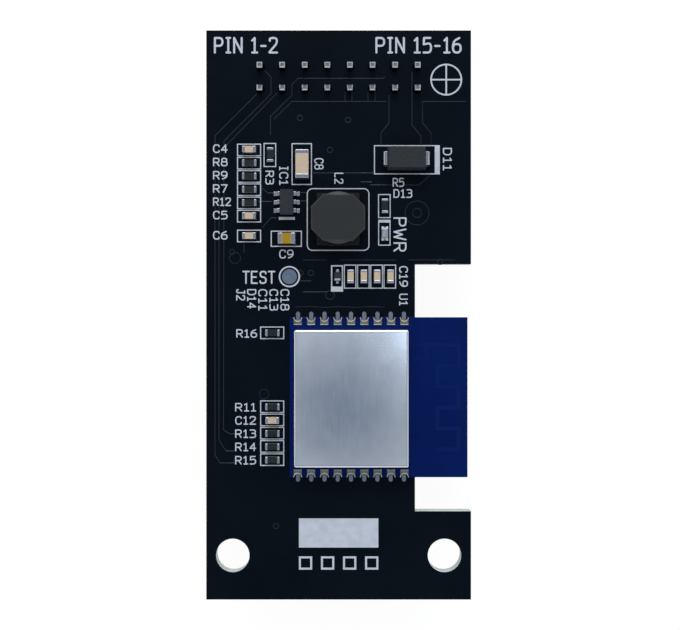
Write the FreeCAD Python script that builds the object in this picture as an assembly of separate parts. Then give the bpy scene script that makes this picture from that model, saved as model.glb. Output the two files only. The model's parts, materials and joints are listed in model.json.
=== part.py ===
import FreeCAD, Part
import math
import os

# Wireless module board: a small two-layer board with a castellated radio module,
# its power supply parts and a pin header on the underside.
# All sizes are in millimetres. The origin lies midway between the two screw holes,
# on the underside of the board. +Y runs to the header and +Z is the component side.

# Board
BOARD_WIDTH = 30.0
BOARD_THICKNESS = 1.6
SCREW_HOLE_DIAMETER = 3.8
SCREW_HOLE_TO_SIDE = 3.0
SCREW_HOLE_TO_END = 5.0
HEADER_TO_END = 5.4

# Copper lands with their finish, and printed ink
LAND_THICKNESS = 0.05
INK_THICKNESS = 0.03
INK_LINE = 0.115

# Pin header
HEADER_PITCH = 2.54
HEADER_COLUMNS = 8
HEADER_ROWS = 2
HEADER_FROM_INDUCTOR = 16.03
PIN_WIDTH = 0.64
PIN_ABOVE_BOARD = 1.2
PIN_BELOW_HOUSING = 6.0
PIN_TIP_BEVEL = 0.13
PIN_HOLE_DIAMETER = 1.02
HOUSING_HEIGHT = 2.54
HOUSING_NOTCH = 0.45

# Radio module: its own board, edge contacts and shield
MODULE_TO_SCREW_LINE = 9.0
MODULE_LENGTH = 20.0
MODULE_WIDTH = 18.0
MODULE_THICKNESS = 0.8
MODULE_TO_BOARD_SIDE = 0.5
CONTACT_PITCH = 1.5
CONTACT_COUNT = 9
CONTACT_FIRST = 0.9
CONTACT_DEPTH = 0.85
CONTACT_HOLE_RADIUS = 0.4
CONTACT_PLATING = 0.04
CONTACT_WALL = 0.05
MODULE_LAND_WIDTH = 0.46
MODULE_LAND_CHAMFER = 0.15
MODULE_LAND_OUTSIDE = 0.62
MODULE_LAND_INSIDE = 0.8
NOTCH_FROM_LAST_CONTACT = 1.25
NOTCH_BELOW_MODULE = 4.0
NOTCH_ABOVE_MODULE = 6.0
SHIELD_LENGTH = 12.7
SHIELD_HEIGHT = 2.4
SHIELD_SHEET = 0.2
SHIELD_FROM_MODULE_END = 0.56
SHIELD_FROM_MODULE_SIDE = 1.375
SHIELD_BEND_RADIUS = 0.25

# Antenna: a folded trace on the free end of the module
ANTENNA_TRACE = 0.5
ANTENNA_THICKNESS = 0.035
ANTENNA_EDGE_MARGIN = 1.0
ANTENNA_ARM = 2.4
ANTENNA_ARM_PITCH = 2.35
ANTENNA_ARM_COUNT = 6
ANTENNA_FEED_GAP = 1.6

# Parts under the shield
RADIO_CHIP_SIZE = 5.0
RADIO_CHIP_HEIGHT = 0.85
RADIO_CHIP_LEAD_PITCH = 0.65
RADIO_CHIP_LEAD_COUNT = 5
RADIO_CHIP_LEAD = 0.3
RADIO_CHIP_LEAD_DEPTH = 0.4
MEMORY_LENGTH = 5.2
MEMORY_WIDTH = 4.6
MEMORY_HEIGHT = 1.5
MEMORY_DRAFT = 0.08
MEMORY_STANDOFF = 0.12
MEMORY_LEAD_PITCH = 1.27
MEMORY_LEAD_COUNT = 4
MEMORY_LEAD_WIDTH = 0.42
MEMORY_LEAD_SHEET = 0.15
MEMORY_LEAD_REACH = 0.9
MEMORY_LEAD_SHOULDER = 0.3
MEMORY_LEAD_SLOPE = 0.1
CRYSTAL_LENGTH = 3.2
CRYSTAL_WIDTH = 2.5
CRYSTAL_BASE = 0.45
CRYSTAL_LID = 0.25
CRYSTAL_LID_MARGIN = 0.2
MICRO_CHIP_LENGTH = 1.0
MICRO_CHIP_WIDTH = 0.5
MICRO_CHIP_HEIGHT = 0.5
MICRO_CHIP_BAND = 0.25
MICRO_CHIP_PITCH = 1.6
MICRO_CHIP_COUNT = 3
SHIELD_INSIDE_MARGIN = 0.7

# Small chip parts: size, end caps and the printed frame round each
CHIP_LENGTH = 1.56
CHIP_WIDTH = 0.77
CHIP_CAPACITOR_HEIGHT = 0.8
CHIP_RESISTOR_LENGTH = 1.64
CHIP_RESISTOR_HEIGHT = 0.45
CHIP_CAPACITOR_BAND = 0.33
CHIP_RESISTOR_BAND = 0.27
CHIP_PLATING = 0.03
OVERCOAT_THICKNESS = 0.025
CHIP_PITCH = 1.5
CHIP_FRAME_END_GAP = 0.47
CHIP_FRAME_WIDTH = 1.43
CHIP_FRAME_OFFSET = 0.05

# Left column of chips, one chip below it and one beside it
LEFT_COLUMN_TO_SIDE = 4.9
LEFT_COLUMN_ABOVE_INDUCTOR = 0.38
LEFT_COLUMN_COUNT = 6
SINGLE_CHIP_BELOW_COLUMN = 2.25
SIDE_RESISTOR_FROM_COLUMN = 2.36
SIDE_RESISTOR_BELOW_TOP = 0.57

# Row of upright chips above the module, with the small diode and the test pad
CHIP_ROW_ABOVE_MODULE = 4.6
CHIP_ROW_COUNT = 4
CHIP_ROW_FROM_CENTRE = 1.35
SMALL_DIODE_FROM_ROW = 1.48
TEST_PAD_FROM_CENTRE = 5.58
TEST_PAD_DIAMETER = 1.7

# Chips left of the module
LOWER_BLOCK_FROM_MODULE = 1.98
LOWER_BLOCK_ABOVE_MODULE_EDGE = 1.86
LOWER_BLOCK_COUNT = 5
LOWER_BLOCK_CAPACITOR = 3
UPPER_RESISTOR_BELOW_MODULE_EDGE = 1.77

# Input capacitor and output capacitor
INPUT_CAP_LENGTH = 3.22
INPUT_CAP_WIDTH = 1.52
INPUT_CAP_HEIGHT = 1.2
INPUT_CAP_BAND = 0.5
INPUT_CAP_FROM_INDUCTOR = 4.06
INPUT_CAP_ABOVE_INDUCTOR = 6.19
INPUT_CAP_FRAME_GAP = 0.645
INPUT_CAP_FRAME_SIDE_GAP = 0.28
INPUT_CAP_FRAME_SHIFT_X = -0.06
INPUT_CAP_FRAME_SHIFT_Y = 0.09
OUTPUT_CAP_LENGTH = 2.0
OUTPUT_CAP_WIDTH = 1.25
OUTPUT_CAP_HEIGHT = 1.2
OUTPUT_CAP_BAND = 0.4
OUTPUT_CAP_FROM_INDUCTOR = 5.79
OUTPUT_CAP_BELOW_INDUCTOR = 2.18
OUTPUT_CAP_FRAME_GAP = 0.65
OUTPUT_CAP_FRAME_SIDE_GAP = 0.175
OUTPUT_CAP_FRAME_OFFSET = 0.08

# Power inductor
INDUCTOR_ABOVE_CHIP_ROW = 6.47
INDUCTOR_LEFT_OF_CENTRE = 0.06
INDUCTOR_LENGTH = 6.0
INDUCTOR_FLAT = 5.15
INDUCTOR_CORNER = 1.33
INDUCTOR_DISC_DIAMETER = 5.8
INDUCTOR_DISC_RIM = 0.3
INDUCTOR_DISC_SLOPE = 0.45
INDUCTOR_TOP_FLANGE = 0.6
INDUCTOR_BEVEL = 0.12
INDUCTOR_POST_DIAMETER = 2.6
INDUCTOR_FOOT_FLANGE = 0.45
INDUCTOR_FOOT_DIAMETER = 4.7
WINDING_WIRE = 0.36
WINDING_LAYER_COUNT = 3
WINDING_DIAMETER = 5.0
INDUCTOR_BASE_WIDTH = 4.82
INDUCTOR_BASE_LENGTH = 5.88
INDUCTOR_BASE_HEIGHT = 0.5
INDUCTOR_TERMINAL = 0.15
INDUCTOR_TERMINAL_WIDTH = 2.2
INDUCTOR_TERMINAL_REACH = 1.3
INDUCTOR_FRAME_GAP = 0.55
INDUCTOR_FRAME_RADIUS = 0.63

# Power diode
DIODE_LENGTH = 4.3
DIODE_WIDTH = 2.6
DIODE_HEIGHT = 2.1
DIODE_DRAFT = 0.16
DIODE_LEAD_WIDTH = 1.5
DIODE_LEAD_SHEET = 0.2
DIODE_LEAD_BEND = 0.07
DIODE_LEAD_REACH = 0.47
DIODE_LEAD_FOOT = 1.0
DIODE_FROM_INDUCTOR = 7.69
DIODE_ABOVE_INDUCTOR = 6.77
DIODE_FRAME_END_GAP = 1.11
DIODE_FRAME_SIDE_GAP = 0.355
DIODE_FRAME_OFFSET = 0.1
DIODE_FRAME_BAR = 0.57

# Small diode
SMALL_DIODE_LENGTH = 1.05
SMALL_DIODE_WIDTH = 0.8
SMALL_DIODE_HEIGHT = 0.6
SMALL_DIODE_DRAFT = 0.05
SMALL_DIODE_PARTING = 0.16
SMALL_DIODE_LEAD_WIDTH = 0.32
SMALL_DIODE_LEAD_SHEET = 0.12
SMALL_DIODE_LEAD_REACH = 0.27
SMALL_DIODE_LEAD_UNDER = 0.3
SMALL_DIODE_FRAME_PLAIN_GAP = 0.77
SMALL_DIODE_FRAME_BAR_GAP = 0.6
SMALL_DIODE_FRAME_SIDE_GAP = 0.285
SMALL_DIODE_FRAME_BAR = 0.58
SMALL_DIODE_FRAME_LINE = 0.15

# Voltage regulator
REGULATOR_LENGTH = 2.9
REGULATOR_WIDTH = 1.55
REGULATOR_HEIGHT = 1.0
REGULATOR_DRAFT = 0.07
REGULATOR_STANDOFF = 0.1
REGULATOR_LEAD_PITCH = 0.95
REGULATOR_LEAD_COUNT = 3
REGULATOR_LEAD_WIDTH = 0.46
REGULATOR_LEAD_SHEET = 0.15
REGULATOR_LEAD_REACH = 0.7
REGULATOR_LEAD_SHOULDER = 0.23
REGULATOR_LEAD_SLOPE = 0.07
REGULATOR_FROM_INDUCTOR = 5.81
REGULATOR_ABOVE_INDUCTOR = 1.93
REGULATOR_MARK_LENGTH = 1.82
REGULATOR_MARK_WIDTH = 0.32
REGULATOR_MARK_GAP = 0.19
REGULATOR_DIMPLE = 0.32
REGULATOR_DIMPLE_DEPTH = 0.05

# Indicator lamp and its resistor
LAMP_LENGTH = 1.6
LAMP_WIDTH = 0.72
LAMP_BASE = 0.3
LAMP_LENS_LENGTH = 1.0
LAMP_LENS_HEIGHT = 0.35
LAMP_LENS_DRAFT = 0.06
LAMP_TERMINAL = 0.03
LAMP_TERMINAL_REACH = 0.28
LAMP_NOTCH_RADIUS = 0.17
LAMP_FROM_INDUCTOR = 5.29
LAMP_BELOW_INDUCTOR = 1.61
LAMP_FRAME_PLAIN_GAP = 0.55
LAMP_FRAME_BAR_GAP = 0.46
LAMP_FRAME_SIDE_GAP = 0.34
LAMP_FRAME_BAR = 0.32
LAMP_RESISTOR_ABOVE_LAMP = 3.13

# Printed marks that stand by themselves
LABEL_WIDTH = 9.0
LABEL_HEIGHT = 3.3
LABEL_TO_SCREW_LINE = 0.9
TICK_BOX = 1.5
TICK_BOX_LINE = 0.22
TICK_BOX_COUNT = 4
TICK_BOX_BELOW_LABEL = 1.0

# Places that follow from the sizes above
TOP = BOARD_THICKNESS
SEAT = TOP + LAND_THICKNESS
BOARD_LEFT = -BOARD_WIDTH / 2
BOARD_RIGHT = BOARD_WIDTH / 2
SCREW_X = BOARD_WIDTH / 2 - SCREW_HOLE_TO_SIDE

MODULE_RIGHT = BOARD_RIGHT - MODULE_TO_BOARD_SIDE
MODULE_LEFT = MODULE_RIGHT - MODULE_LENGTH
MODULE_LOW = MODULE_TO_SCREW_LINE
MODULE_HIGH = MODULE_LOW + MODULE_WIDTH
MODULE_UNDER = SEAT + CONTACT_PLATING
MODULE_TOP = MODULE_UNDER + MODULE_THICKNESS
CONTACT_WIDTH = 2 * (CONTACT_HOLE_RADIUS + CONTACT_WALL)
CONTACT_NOTCH = CONTACT_HOLE_RADIUS + CONTACT_WALL
CONTACT_X = [MODULE_LEFT + CONTACT_FIRST + i * CONTACT_PITCH for i in range(CONTACT_COUNT)]
NOTCH_X = CONTACT_X[-1] + NOTCH_FROM_LAST_CONTACT
NOTCH_LOW = MODULE_LOW - NOTCH_BELOW_MODULE
NOTCH_HIGH = MODULE_HIGH + NOTCH_ABOVE_MODULE

SHIELD_LEFT = MODULE_LEFT + SHIELD_FROM_MODULE_END
SHIELD_X = SHIELD_LEFT + SHIELD_LENGTH / 2
SHIELD_Y = (MODULE_LOW + MODULE_HIGH) / 2
SHIELD_WIDTH = MODULE_WIDTH - 2 * SHIELD_FROM_MODULE_SIDE

CHIP_ROW_Y = MODULE_HIGH + CHIP_ROW_ABOVE_MODULE
INDUCTOR_X = -INDUCTOR_LEFT_OF_CENTRE
INDUCTOR_Y = CHIP_ROW_Y + INDUCTOR_ABOVE_CHIP_ROW
HEADER_Y = INDUCTOR_Y + HEADER_FROM_INDUCTOR
BOARD_LOW = -SCREW_HOLE_TO_END
BOARD_HIGH = HEADER_Y + HEADER_TO_END

COLUMN_X = BOARD_LEFT + LEFT_COLUMN_TO_SIDE
COLUMN_Y = INDUCTOR_Y + LEFT_COLUMN_ABOVE_INDUCTOR
COLUMN_TOP_Y = COLUMN_Y + (LEFT_COLUMN_COUNT - 1) * CHIP_PITCH
BLOCK_X = MODULE_LEFT - LOWER_BLOCK_FROM_MODULE
BLOCK_Y = MODULE_LOW + LOWER_BLOCK_ABOVE_MODULE_EDGE
SMALL_DIODE_X = CHIP_ROW_FROM_CENTRE - SMALL_DIODE_FROM_ROW
LAMP_X = INDUCTOR_X + LAMP_FROM_INDUCTOR
LAMP_Y = INDUCTOR_Y - LAMP_BELOW_INDUCTOR

# Each chip is a place and whether it stands upright, with its length along Y.
CAPACITOR_PLACES = [
    (COLUMN_X, COLUMN_TOP_Y, False),
    (COLUMN_X, COLUMN_Y, False),
    (COLUMN_X, COLUMN_Y - SINGLE_CHIP_BELOW_COLUMN, False),
    (BLOCK_X, BLOCK_Y + LOWER_BLOCK_CAPACITOR * CHIP_PITCH, False),
] + [(CHIP_ROW_FROM_CENTRE + i * CHIP_PITCH, CHIP_ROW_Y, True) for i in range(CHIP_ROW_COUNT)]
RESISTOR_PLACES = [
    (COLUMN_X, COLUMN_Y + i * CHIP_PITCH, False) for i in range(1, LEFT_COLUMN_COUNT - 1)
] + [
    (COLUMN_X + SIDE_RESISTOR_FROM_COLUMN, COLUMN_TOP_Y - SIDE_RESISTOR_BELOW_TOP, True),
    (BLOCK_X, MODULE_HIGH - UPPER_RESISTOR_BELOW_MODULE_EDGE, False),
] + [
    (BLOCK_X, BLOCK_Y + i * CHIP_PITCH, False)
    for i in range(LOWER_BLOCK_COUNT) if i != LOWER_BLOCK_CAPACITOR
] + [
    (LAMP_X, LAMP_Y + LAMP_RESISTOR_ABOVE_LAMP, True),
]


def vec(x, y, z=0.0):
    return FreeCAD.Vector(x, y, z)


def block(x, y, z, length, width, height):
    """A box centred on (x, y) in plan, standing on height z."""
    return Part.makeBox(length, width, height, vec(x - length / 2, y - width / 2, z))


def disc(x, y, z, diameter, height):
    return Part.makeCylinder(diameter / 2, height, vec(x, y, z))


def outline(corners, z=0.0):
    """A closed wire through (x, y, radius) corners; a radius of 0 leaves the corner sharp."""
    starts, ends, arcs = [], [], []
    count = len(corners)
    for i in range(count):
        x, y, radius = corners[i]
        corner = vec(x, y, z)
        before = (vec(corners[i - 1][0], corners[i - 1][1], z) - corner).normalize()
        after = (vec(corners[(i + 1) % count][0], corners[(i + 1) % count][1], z) - corner).normalize()
        if radius <= 0:
            starts.append(corner)
            ends.append(corner)
            arcs.append(None)
            continue
        half = math.acos(max(-1.0, min(1.0, before.dot(after)))) / 2
        inward = (before + after).normalize()
        centre = corner + inward * (radius / math.sin(half))
        starts.append(corner + before * (radius / math.tan(half)))
        ends.append(corner + after * (radius / math.tan(half)))
        arcs.append(centre - inward * radius)
    edges = []
    for i in range(count):
        if arcs[i] is not None:
            edges.append(Part.Arc(starts[i], arcs[i], ends[i]).toShape())
        following = starts[(i + 1) % count]
        if (following - ends[i]).Length > 1e-6:
            edges.append(Part.LineSegment(ends[i], following).toShape())
    return Part.Wire(edges)


def rectangle(x, y, length, width, radius=0.0):
    """The corners of a rectangle centred on (x, y), each with the same radius."""
    half_x, half_y = length / 2, width / 2
    return [
        (x - half_x, y - half_y, radius),
        (x + half_x, y - half_y, radius),
        (x + half_x, y + half_y, radius),
        (x - half_x, y + half_y, radius),
    ]


def prism(corners, z, height):
    return Part.Face(outline(corners, z)).extrude(vec(0, 0, height))


def one_solid(shape):
    """The single solid of a boolean's result, without its leftover seams."""
    return shape.removeSplitter().Solids[0]


def edges_at(shape, z):
    return [e for e in shape.Edges if all(abs(v.Z - z) < 1e-6 for v in e.Vertexes)]


def moulded_body(x, y, z, length, width, height, draft, parting):
    """A moulded package: its sides draw in by the draft above and below the parting height."""
    levels = [
        (z, draft * parting / height),
        (z + parting, 0.0),
        (z + height, draft),
    ]
    wires = []
    for level, inset in levels:
        wires.append(outline(rectangle(x, y, length - 2 * inset, width - 2 * inset), level))
    lower = Part.makeLoft(wires[:2], True, True)
    upper = Part.makeLoft(wires[1:], True, True)
    return one_solid(lower.fuse(upper))


def bent_strip(path, sheet, bend, width):
    """A strip of sheet along an (x, z) path, its width along Y; a bend of 0 leaves the folds sharp."""
    points = [vec(px, 0, pz) for px, pz in path]
    left, right = [], []
    for i, point in enumerate(points):
        into = (point - points[i - 1]).normalize() if i else None
        out = (points[i + 1] - point).normalize() if i + 1 < len(points) else None
        into = into or out
        out = out or into
        normal_in = vec(-into.z, 0, into.x)
        normal_out = vec(-out.z, 0, out.x)
        mitre = normal_in + normal_out
        mitre = mitre * (sheet / mitre.dot(mitre))
        turn = into.x * out.z - into.z * out.x
        inner, outer = bend, bend + sheet
        straight = abs(turn) < 1e-6 or bend <= 0
        left_radius = 0.0 if straight else (inner if turn > 0 else outer)
        right_radius = 0.0 if straight else (outer if turn > 0 else inner)
        left.append((point.x + mitre.x, point.z + mitre.z, left_radius))
        right.append((point.x - mitre.x, point.z - mitre.z, right_radius))
    strip = prism(left + right[::-1], 0, width)
    strip.rotate(vec(0, 0, 0), vec(1, 0, 0), 90)
    strip.translate(vec(0, width / 2, 0))
    return strip


def placed(shape, x, y, z, turn=0):
    moved = shape.copy()
    moved.rotate(vec(0, 0, 0), vec(0, 0, 1), turn)
    moved.translate(vec(x, y, z))
    return moved


def circuit_board():
    """One plate with the antenna notch in its right side, two screw holes and the pin holes."""
    corners = [
        (BOARD_LEFT, BOARD_LOW, 0),
        (BOARD_RIGHT, BOARD_LOW, 0),
        (BOARD_RIGHT, NOTCH_LOW, 0),
        (NOTCH_X, NOTCH_LOW, 0),
        (NOTCH_X, NOTCH_HIGH, 0),
        (BOARD_RIGHT, NOTCH_HIGH, 0),
        (BOARD_RIGHT, BOARD_HIGH, 0),
        (BOARD_LEFT, BOARD_HIGH, 0),
    ]
    holes = [disc(x, 0, 0, SCREW_HOLE_DIAMETER, BOARD_THICKNESS) for x in (-SCREW_X, SCREW_X)]
    holes += [disc(x, y, 0, PIN_HOLE_DIAMETER, BOARD_THICKNESS) for x, y in pin_places()]
    return prism(corners, 0, BOARD_THICKNESS).cut(Part.makeCompound(holes)).Solids[0]


def pin_places():
    places = []
    for row in range(HEADER_ROWS):
        y = HEADER_Y + (row - (HEADER_ROWS - 1) / 2) * HEADER_PITCH
        for column in range(HEADER_COLUMNS):
            places.append(((column - (HEADER_COLUMNS - 1) / 2) * HEADER_PITCH, y))
    return places


def header_pins():
    """Square pins with bevelled tips, pressed through the housing."""
    bottom = -HOUSING_HEIGHT - PIN_BELOW_HOUSING
    length = TOP + PIN_ABOVE_BOARD - bottom
    pin = block(0, 0, bottom, PIN_WIDTH, PIN_WIDTH, length)
    tips = edges_at(pin, bottom) + edges_at(pin, bottom + length)
    pin = pin.makeChamfer(PIN_TIP_BEVEL, tips)
    return [placed(pin, x, y, 0) for x, y in pin_places()]


def header_housing():
    """The moulded strip that holds the pins, notched between its columns."""
    half_width = HEADER_ROWS * HEADER_PITCH / 2
    left = -HEADER_COLUMNS * HEADER_PITCH / 2
    lower = []
    for column in range(HEADER_COLUMNS):
        x = left + column * HEADER_PITCH
        lower.append((x, HEADER_Y - half_width + HOUSING_NOTCH, 0))
        lower.append((x + HOUSING_NOTCH, HEADER_Y - half_width, 0))
        lower.append((x + HEADER_PITCH - HOUSING_NOTCH, HEADER_Y - half_width, 0))
    lower.append((-left, HEADER_Y - half_width + HOUSING_NOTCH, 0))
    upper = [(x, 2 * HEADER_Y - y, 0) for x, y, radius in reversed(lower)]
    housing = prism(lower + upper, -HOUSING_HEIGHT, HOUSING_HEIGHT)
    sockets = [block(x, y, -HOUSING_HEIGHT, PIN_WIDTH, PIN_WIDTH, HOUSING_HEIGHT) for x, y in pin_places()]
    return housing.cut(Part.makeCompound(sockets)).Solids[0]


def module_board():
    """The radio module's board, with a notch in its edge for each contact."""
    centre_x = (MODULE_LEFT + MODULE_RIGHT) / 2
    centre_y = (MODULE_LOW + MODULE_HIGH) / 2
    plate = block(centre_x, centre_y, MODULE_UNDER, MODULE_LENGTH, MODULE_WIDTH, MODULE_THICKNESS)
    notches = []
    for x in CONTACT_X:
        for y in (MODULE_LOW, MODULE_HIGH):
            notches.append(block(x, y, MODULE_UNDER, CONTACT_WIDTH, 2 * CONTACT_NOTCH, MODULE_THICKNESS))
    return plate.cut(Part.makeCompound(notches)).Solids[0]


def module_contacts():
    """Each contact lines half a hole in the module's edge and spreads into a land above it."""
    height = MODULE_THICKNESS + 2 * CONTACT_PLATING
    pieces = []
    for x in CONTACT_X:
        for y, inward in ((MODULE_LOW, 1), (MODULE_HIGH, -1)):
            lining = block(x, y + inward * CONTACT_NOTCH / 2, SEAT, CONTACT_WIDTH, CONTACT_NOTCH, height)
            land = block(
                x, y + inward * CONTACT_DEPTH / 2, MODULE_TOP, CONTACT_WIDTH, CONTACT_DEPTH, CONTACT_PLATING)
            hole = disc(x, y, SEAT, 2 * CONTACT_HOLE_RADIUS, height)
            pieces.append(one_solid(lining.fuse(land).cut(hole)))
    return pieces


def module_lands():
    """Lands on the main board, square under each contact and chamfered at the end in view."""
    half = MODULE_LAND_WIDTH / 2
    corners = [
        (-half, -MODULE_LAND_INSIDE, 0),
        (half, -MODULE_LAND_INSIDE, 0),
        (half, MODULE_LAND_OUTSIDE - MODULE_LAND_CHAMFER, 0),
        (half - MODULE_LAND_CHAMFER, MODULE_LAND_OUTSIDE, 0),
        (MODULE_LAND_CHAMFER - half, MODULE_LAND_OUTSIDE, 0),
        (-half, MODULE_LAND_OUTSIDE - MODULE_LAND_CHAMFER, 0),
    ]
    land = prism(corners, TOP, LAND_THICKNESS)
    return [placed(land, x, MODULE_HIGH, 0) for x in CONTACT_X] + [
        placed(land, x, MODULE_LOW, 0, 180) for x in CONTACT_X]


def antenna_trace():
    """A folded strip along the free end, fed from the shielded part by two short arms."""
    left = MODULE_RIGHT - ANTENNA_EDGE_MARGIN - ANTENNA_ARM
    right = MODULE_RIGHT - ANTENNA_EDGE_MARGIN
    first = (MODULE_LOW + MODULE_HIGH) / 2 - (ANTENNA_ARM_COUNT - 1) / 2 * ANTENNA_ARM_PITCH
    levels = [first + i * ANTENNA_ARM_PITCH for i in range(ANTENNA_ARM_COUNT)]
    feed = CONTACT_X[-1] + NOTCH_FROM_LAST_CONTACT
    points = [(feed, levels[-1]), (right, levels[-1])]
    for i in range(ANTENNA_ARM_COUNT - 2, -1, -1):
        side = points[-1][0]
        points.append((side, levels[i]))
        points.append((left if side == right else right, levels[i]))
    short_y = levels[-1] - ANTENNA_FEED_GAP
    runs = list(zip(points[:-1], points[1:]))
    stem = (feed + left) / 2
    runs.append(((stem, levels[-1]), (stem, short_y)))
    runs.append(((feed, short_y), (stem, short_y)))
    strips = []
    for (x0, y0), (x1, y1) in runs:
        strips.append(block(
            (x0 + x1) / 2, (y0 + y1) / 2, MODULE_TOP,
            abs(x1 - x0) + ANTENNA_TRACE, abs(y1 - y0) + ANTENNA_TRACE, ANTENNA_THICKNESS))
    return one_solid(strips[0].multiFuse(strips[1:]))


def shield_can():
    """A drawn box of thin sheet, open below, with rounded corners and top edges."""
    outside = block(SHIELD_X, SHIELD_Y, MODULE_TOP, SHIELD_LENGTH, SHIELD_WIDTH, SHIELD_HEIGHT)
    rim = edges_at(outside, MODULE_TOP)
    bends = [edge for edge in outside.Edges if not any(edge.isSame(other) for other in rim)]
    outside = outside.makeFillet(SHIELD_BEND_RADIUS, bends)
    inside = block(
        SHIELD_X, SHIELD_Y, MODULE_TOP, SHIELD_LENGTH - 2 * SHIELD_SHEET, SHIELD_WIDTH - 2 * SHIELD_SHEET,
        SHIELD_HEIGHT - SHIELD_SHEET)
    return outside.cut(inside).Solids[0]


def radio_chip():
    """A flat leadless package, which stands on a row of small lands along each side."""
    x = SHIELD_LEFT + SHIELD_SHEET + SHIELD_INSIDE_MARGIN + RADIO_CHIP_SIZE / 2
    y = SHIELD_Y - SHIELD_WIDTH / 2 + SHIELD_SHEET + SHIELD_INSIDE_MARGIN + RADIO_CHIP_SIZE / 2
    body = block(
        x, y, MODULE_TOP + LAND_THICKNESS, RADIO_CHIP_SIZE, RADIO_CHIP_SIZE,
        RADIO_CHIP_HEIGHT - LAND_THICKNESS)
    lands = []
    for i in range(RADIO_CHIP_LEAD_COUNT):
        along = (i - (RADIO_CHIP_LEAD_COUNT - 1) / 2) * RADIO_CHIP_LEAD_PITCH
        for turn in range(4):
            land = block(
                along, (RADIO_CHIP_SIZE - RADIO_CHIP_LEAD_DEPTH) / 2, 0,
                RADIO_CHIP_LEAD, RADIO_CHIP_LEAD_DEPTH, LAND_THICKNESS)
            lands.append(placed(land, x, y, MODULE_TOP, 90 * turn))
    return body, lands


def memory_chip():
    """A moulded package with four gull-wing leads on each side."""
    inside_right = SHIELD_LEFT + SHIELD_LENGTH - SHIELD_SHEET
    x = inside_right - SHIELD_INSIDE_MARGIN - MEMORY_LEAD_REACH - MEMORY_WIDTH / 2
    y = SHIELD_Y + SHIELD_WIDTH / 2 - SHIELD_SHEET - SHIELD_INSIDE_MARGIN - MEMORY_LENGTH / 2
    body = (MEMORY_WIDTH, MEMORY_LENGTH, MEMORY_HEIGHT, MEMORY_DRAFT, MEMORY_STANDOFF)
    lead = (MEMORY_LEAD_WIDTH, MEMORY_LEAD_SHEET, MEMORY_LEAD_REACH, MEMORY_LEAD_SHOULDER, MEMORY_LEAD_SLOPE)
    return gull_wing_package(x, y, MODULE_TOP, body, lead, MEMORY_LEAD_COUNT, MEMORY_LEAD_PITCH)


def gull_wing_package(x, y, z, body, lead, count, pitch):
    """A moulded body and its leads, which leave both long sides and bend down to the board."""
    width, length, height, draft, standoff = body
    lead_width, sheet, reach, shoulder, slope = lead
    parting = (height - standoff) / 2
    moulding = moulded_body(x, y, z + standoff, width, length, height - standoff, draft, parting)
    path = [
        (0, standoff + parting),
        (shoulder, standoff + parting),
        (shoulder + slope, sheet / 2),
        (reach, sheet / 2),
    ]
    strip = bent_strip(path, sheet, 0, lead_width)
    leads = []
    for i in range(count):
        along = (i - (count - 1) / 2) * pitch
        leads.append(placed(strip, x + width / 2, y + along, z))
        leads.append(placed(strip, x - width / 2, y + along, z, 180))
    return moulding, leads


def crystal():
    """A ceramic tub with a metal lid."""
    x = SHIELD_LEFT + SHIELD_SHEET + SHIELD_INSIDE_MARGIN + CRYSTAL_LENGTH / 2
    y = SHIELD_Y + SHIELD_WIDTH / 2 - SHIELD_SHEET - SHIELD_INSIDE_MARGIN - CRYSTAL_WIDTH / 2
    tub = block(x, y, MODULE_TOP, CRYSTAL_LENGTH, CRYSTAL_WIDTH, CRYSTAL_BASE)
    lid = block(
        x, y, MODULE_TOP + CRYSTAL_BASE, CRYSTAL_LENGTH - 2 * CRYSTAL_LID_MARGIN,
        CRYSTAL_WIDTH - 2 * CRYSTAL_LID_MARGIN, CRYSTAL_LID)
    return tub, lid


def chip_part(length, width, height, band, overcoat=0.0):
    """A ceramic block and its two metal end caps, lying along X and centred on the origin."""
    inner = (length - 2 * CHIP_PLATING, width - 2 * CHIP_PLATING, height - 2 * CHIP_PLATING)
    body = block(0, 0, CHIP_PLATING, *inner)
    ends = []
    for side in (-1, 1):
        cap = block(side * (length - band) / 2, 0, 0, band, width, height)
        ends.append(cap.cut(body).Solids[0])
    if overcoat:
        coat = block(0, 0, height - CHIP_PLATING, length - 2 * band, inner[1], overcoat)
        body = one_solid(body.fuse(coat))
    return body, ends


def set_chip(chip, x, y, standing):
    """A chip's solids at their place on the main board's lands."""
    turn = 90 if standing else 0
    body, ends = chip
    return placed(body, x, y, SEAT, turn), [placed(end, x, y, SEAT, turn) for end in ends]


def micro_chips():
    """A row of the smallest chips between the two large packages under the shield."""
    chip = chip_part(MICRO_CHIP_LENGTH, MICRO_CHIP_WIDTH, MICRO_CHIP_HEIGHT, MICRO_CHIP_BAND)
    x = SHIELD_LEFT + SHIELD_LENGTH - SHIELD_SHEET - SHIELD_INSIDE_MARGIN - MICRO_CHIP_LENGTH
    first = SHIELD_Y - SHIELD_WIDTH / 2 + SHIELD_SHEET + SHIELD_INSIDE_MARGIN + MICRO_CHIP_WIDTH
    bodies, ends = [], []
    for i in range(MICRO_CHIP_COUNT):
        y = first + i * MICRO_CHIP_PITCH
        bodies.append(placed(chip[0], x, y, MODULE_TOP))
        ends += [placed(end, x, y, MODULE_TOP) for end in chip[1]]
    return bodies, ends


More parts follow.
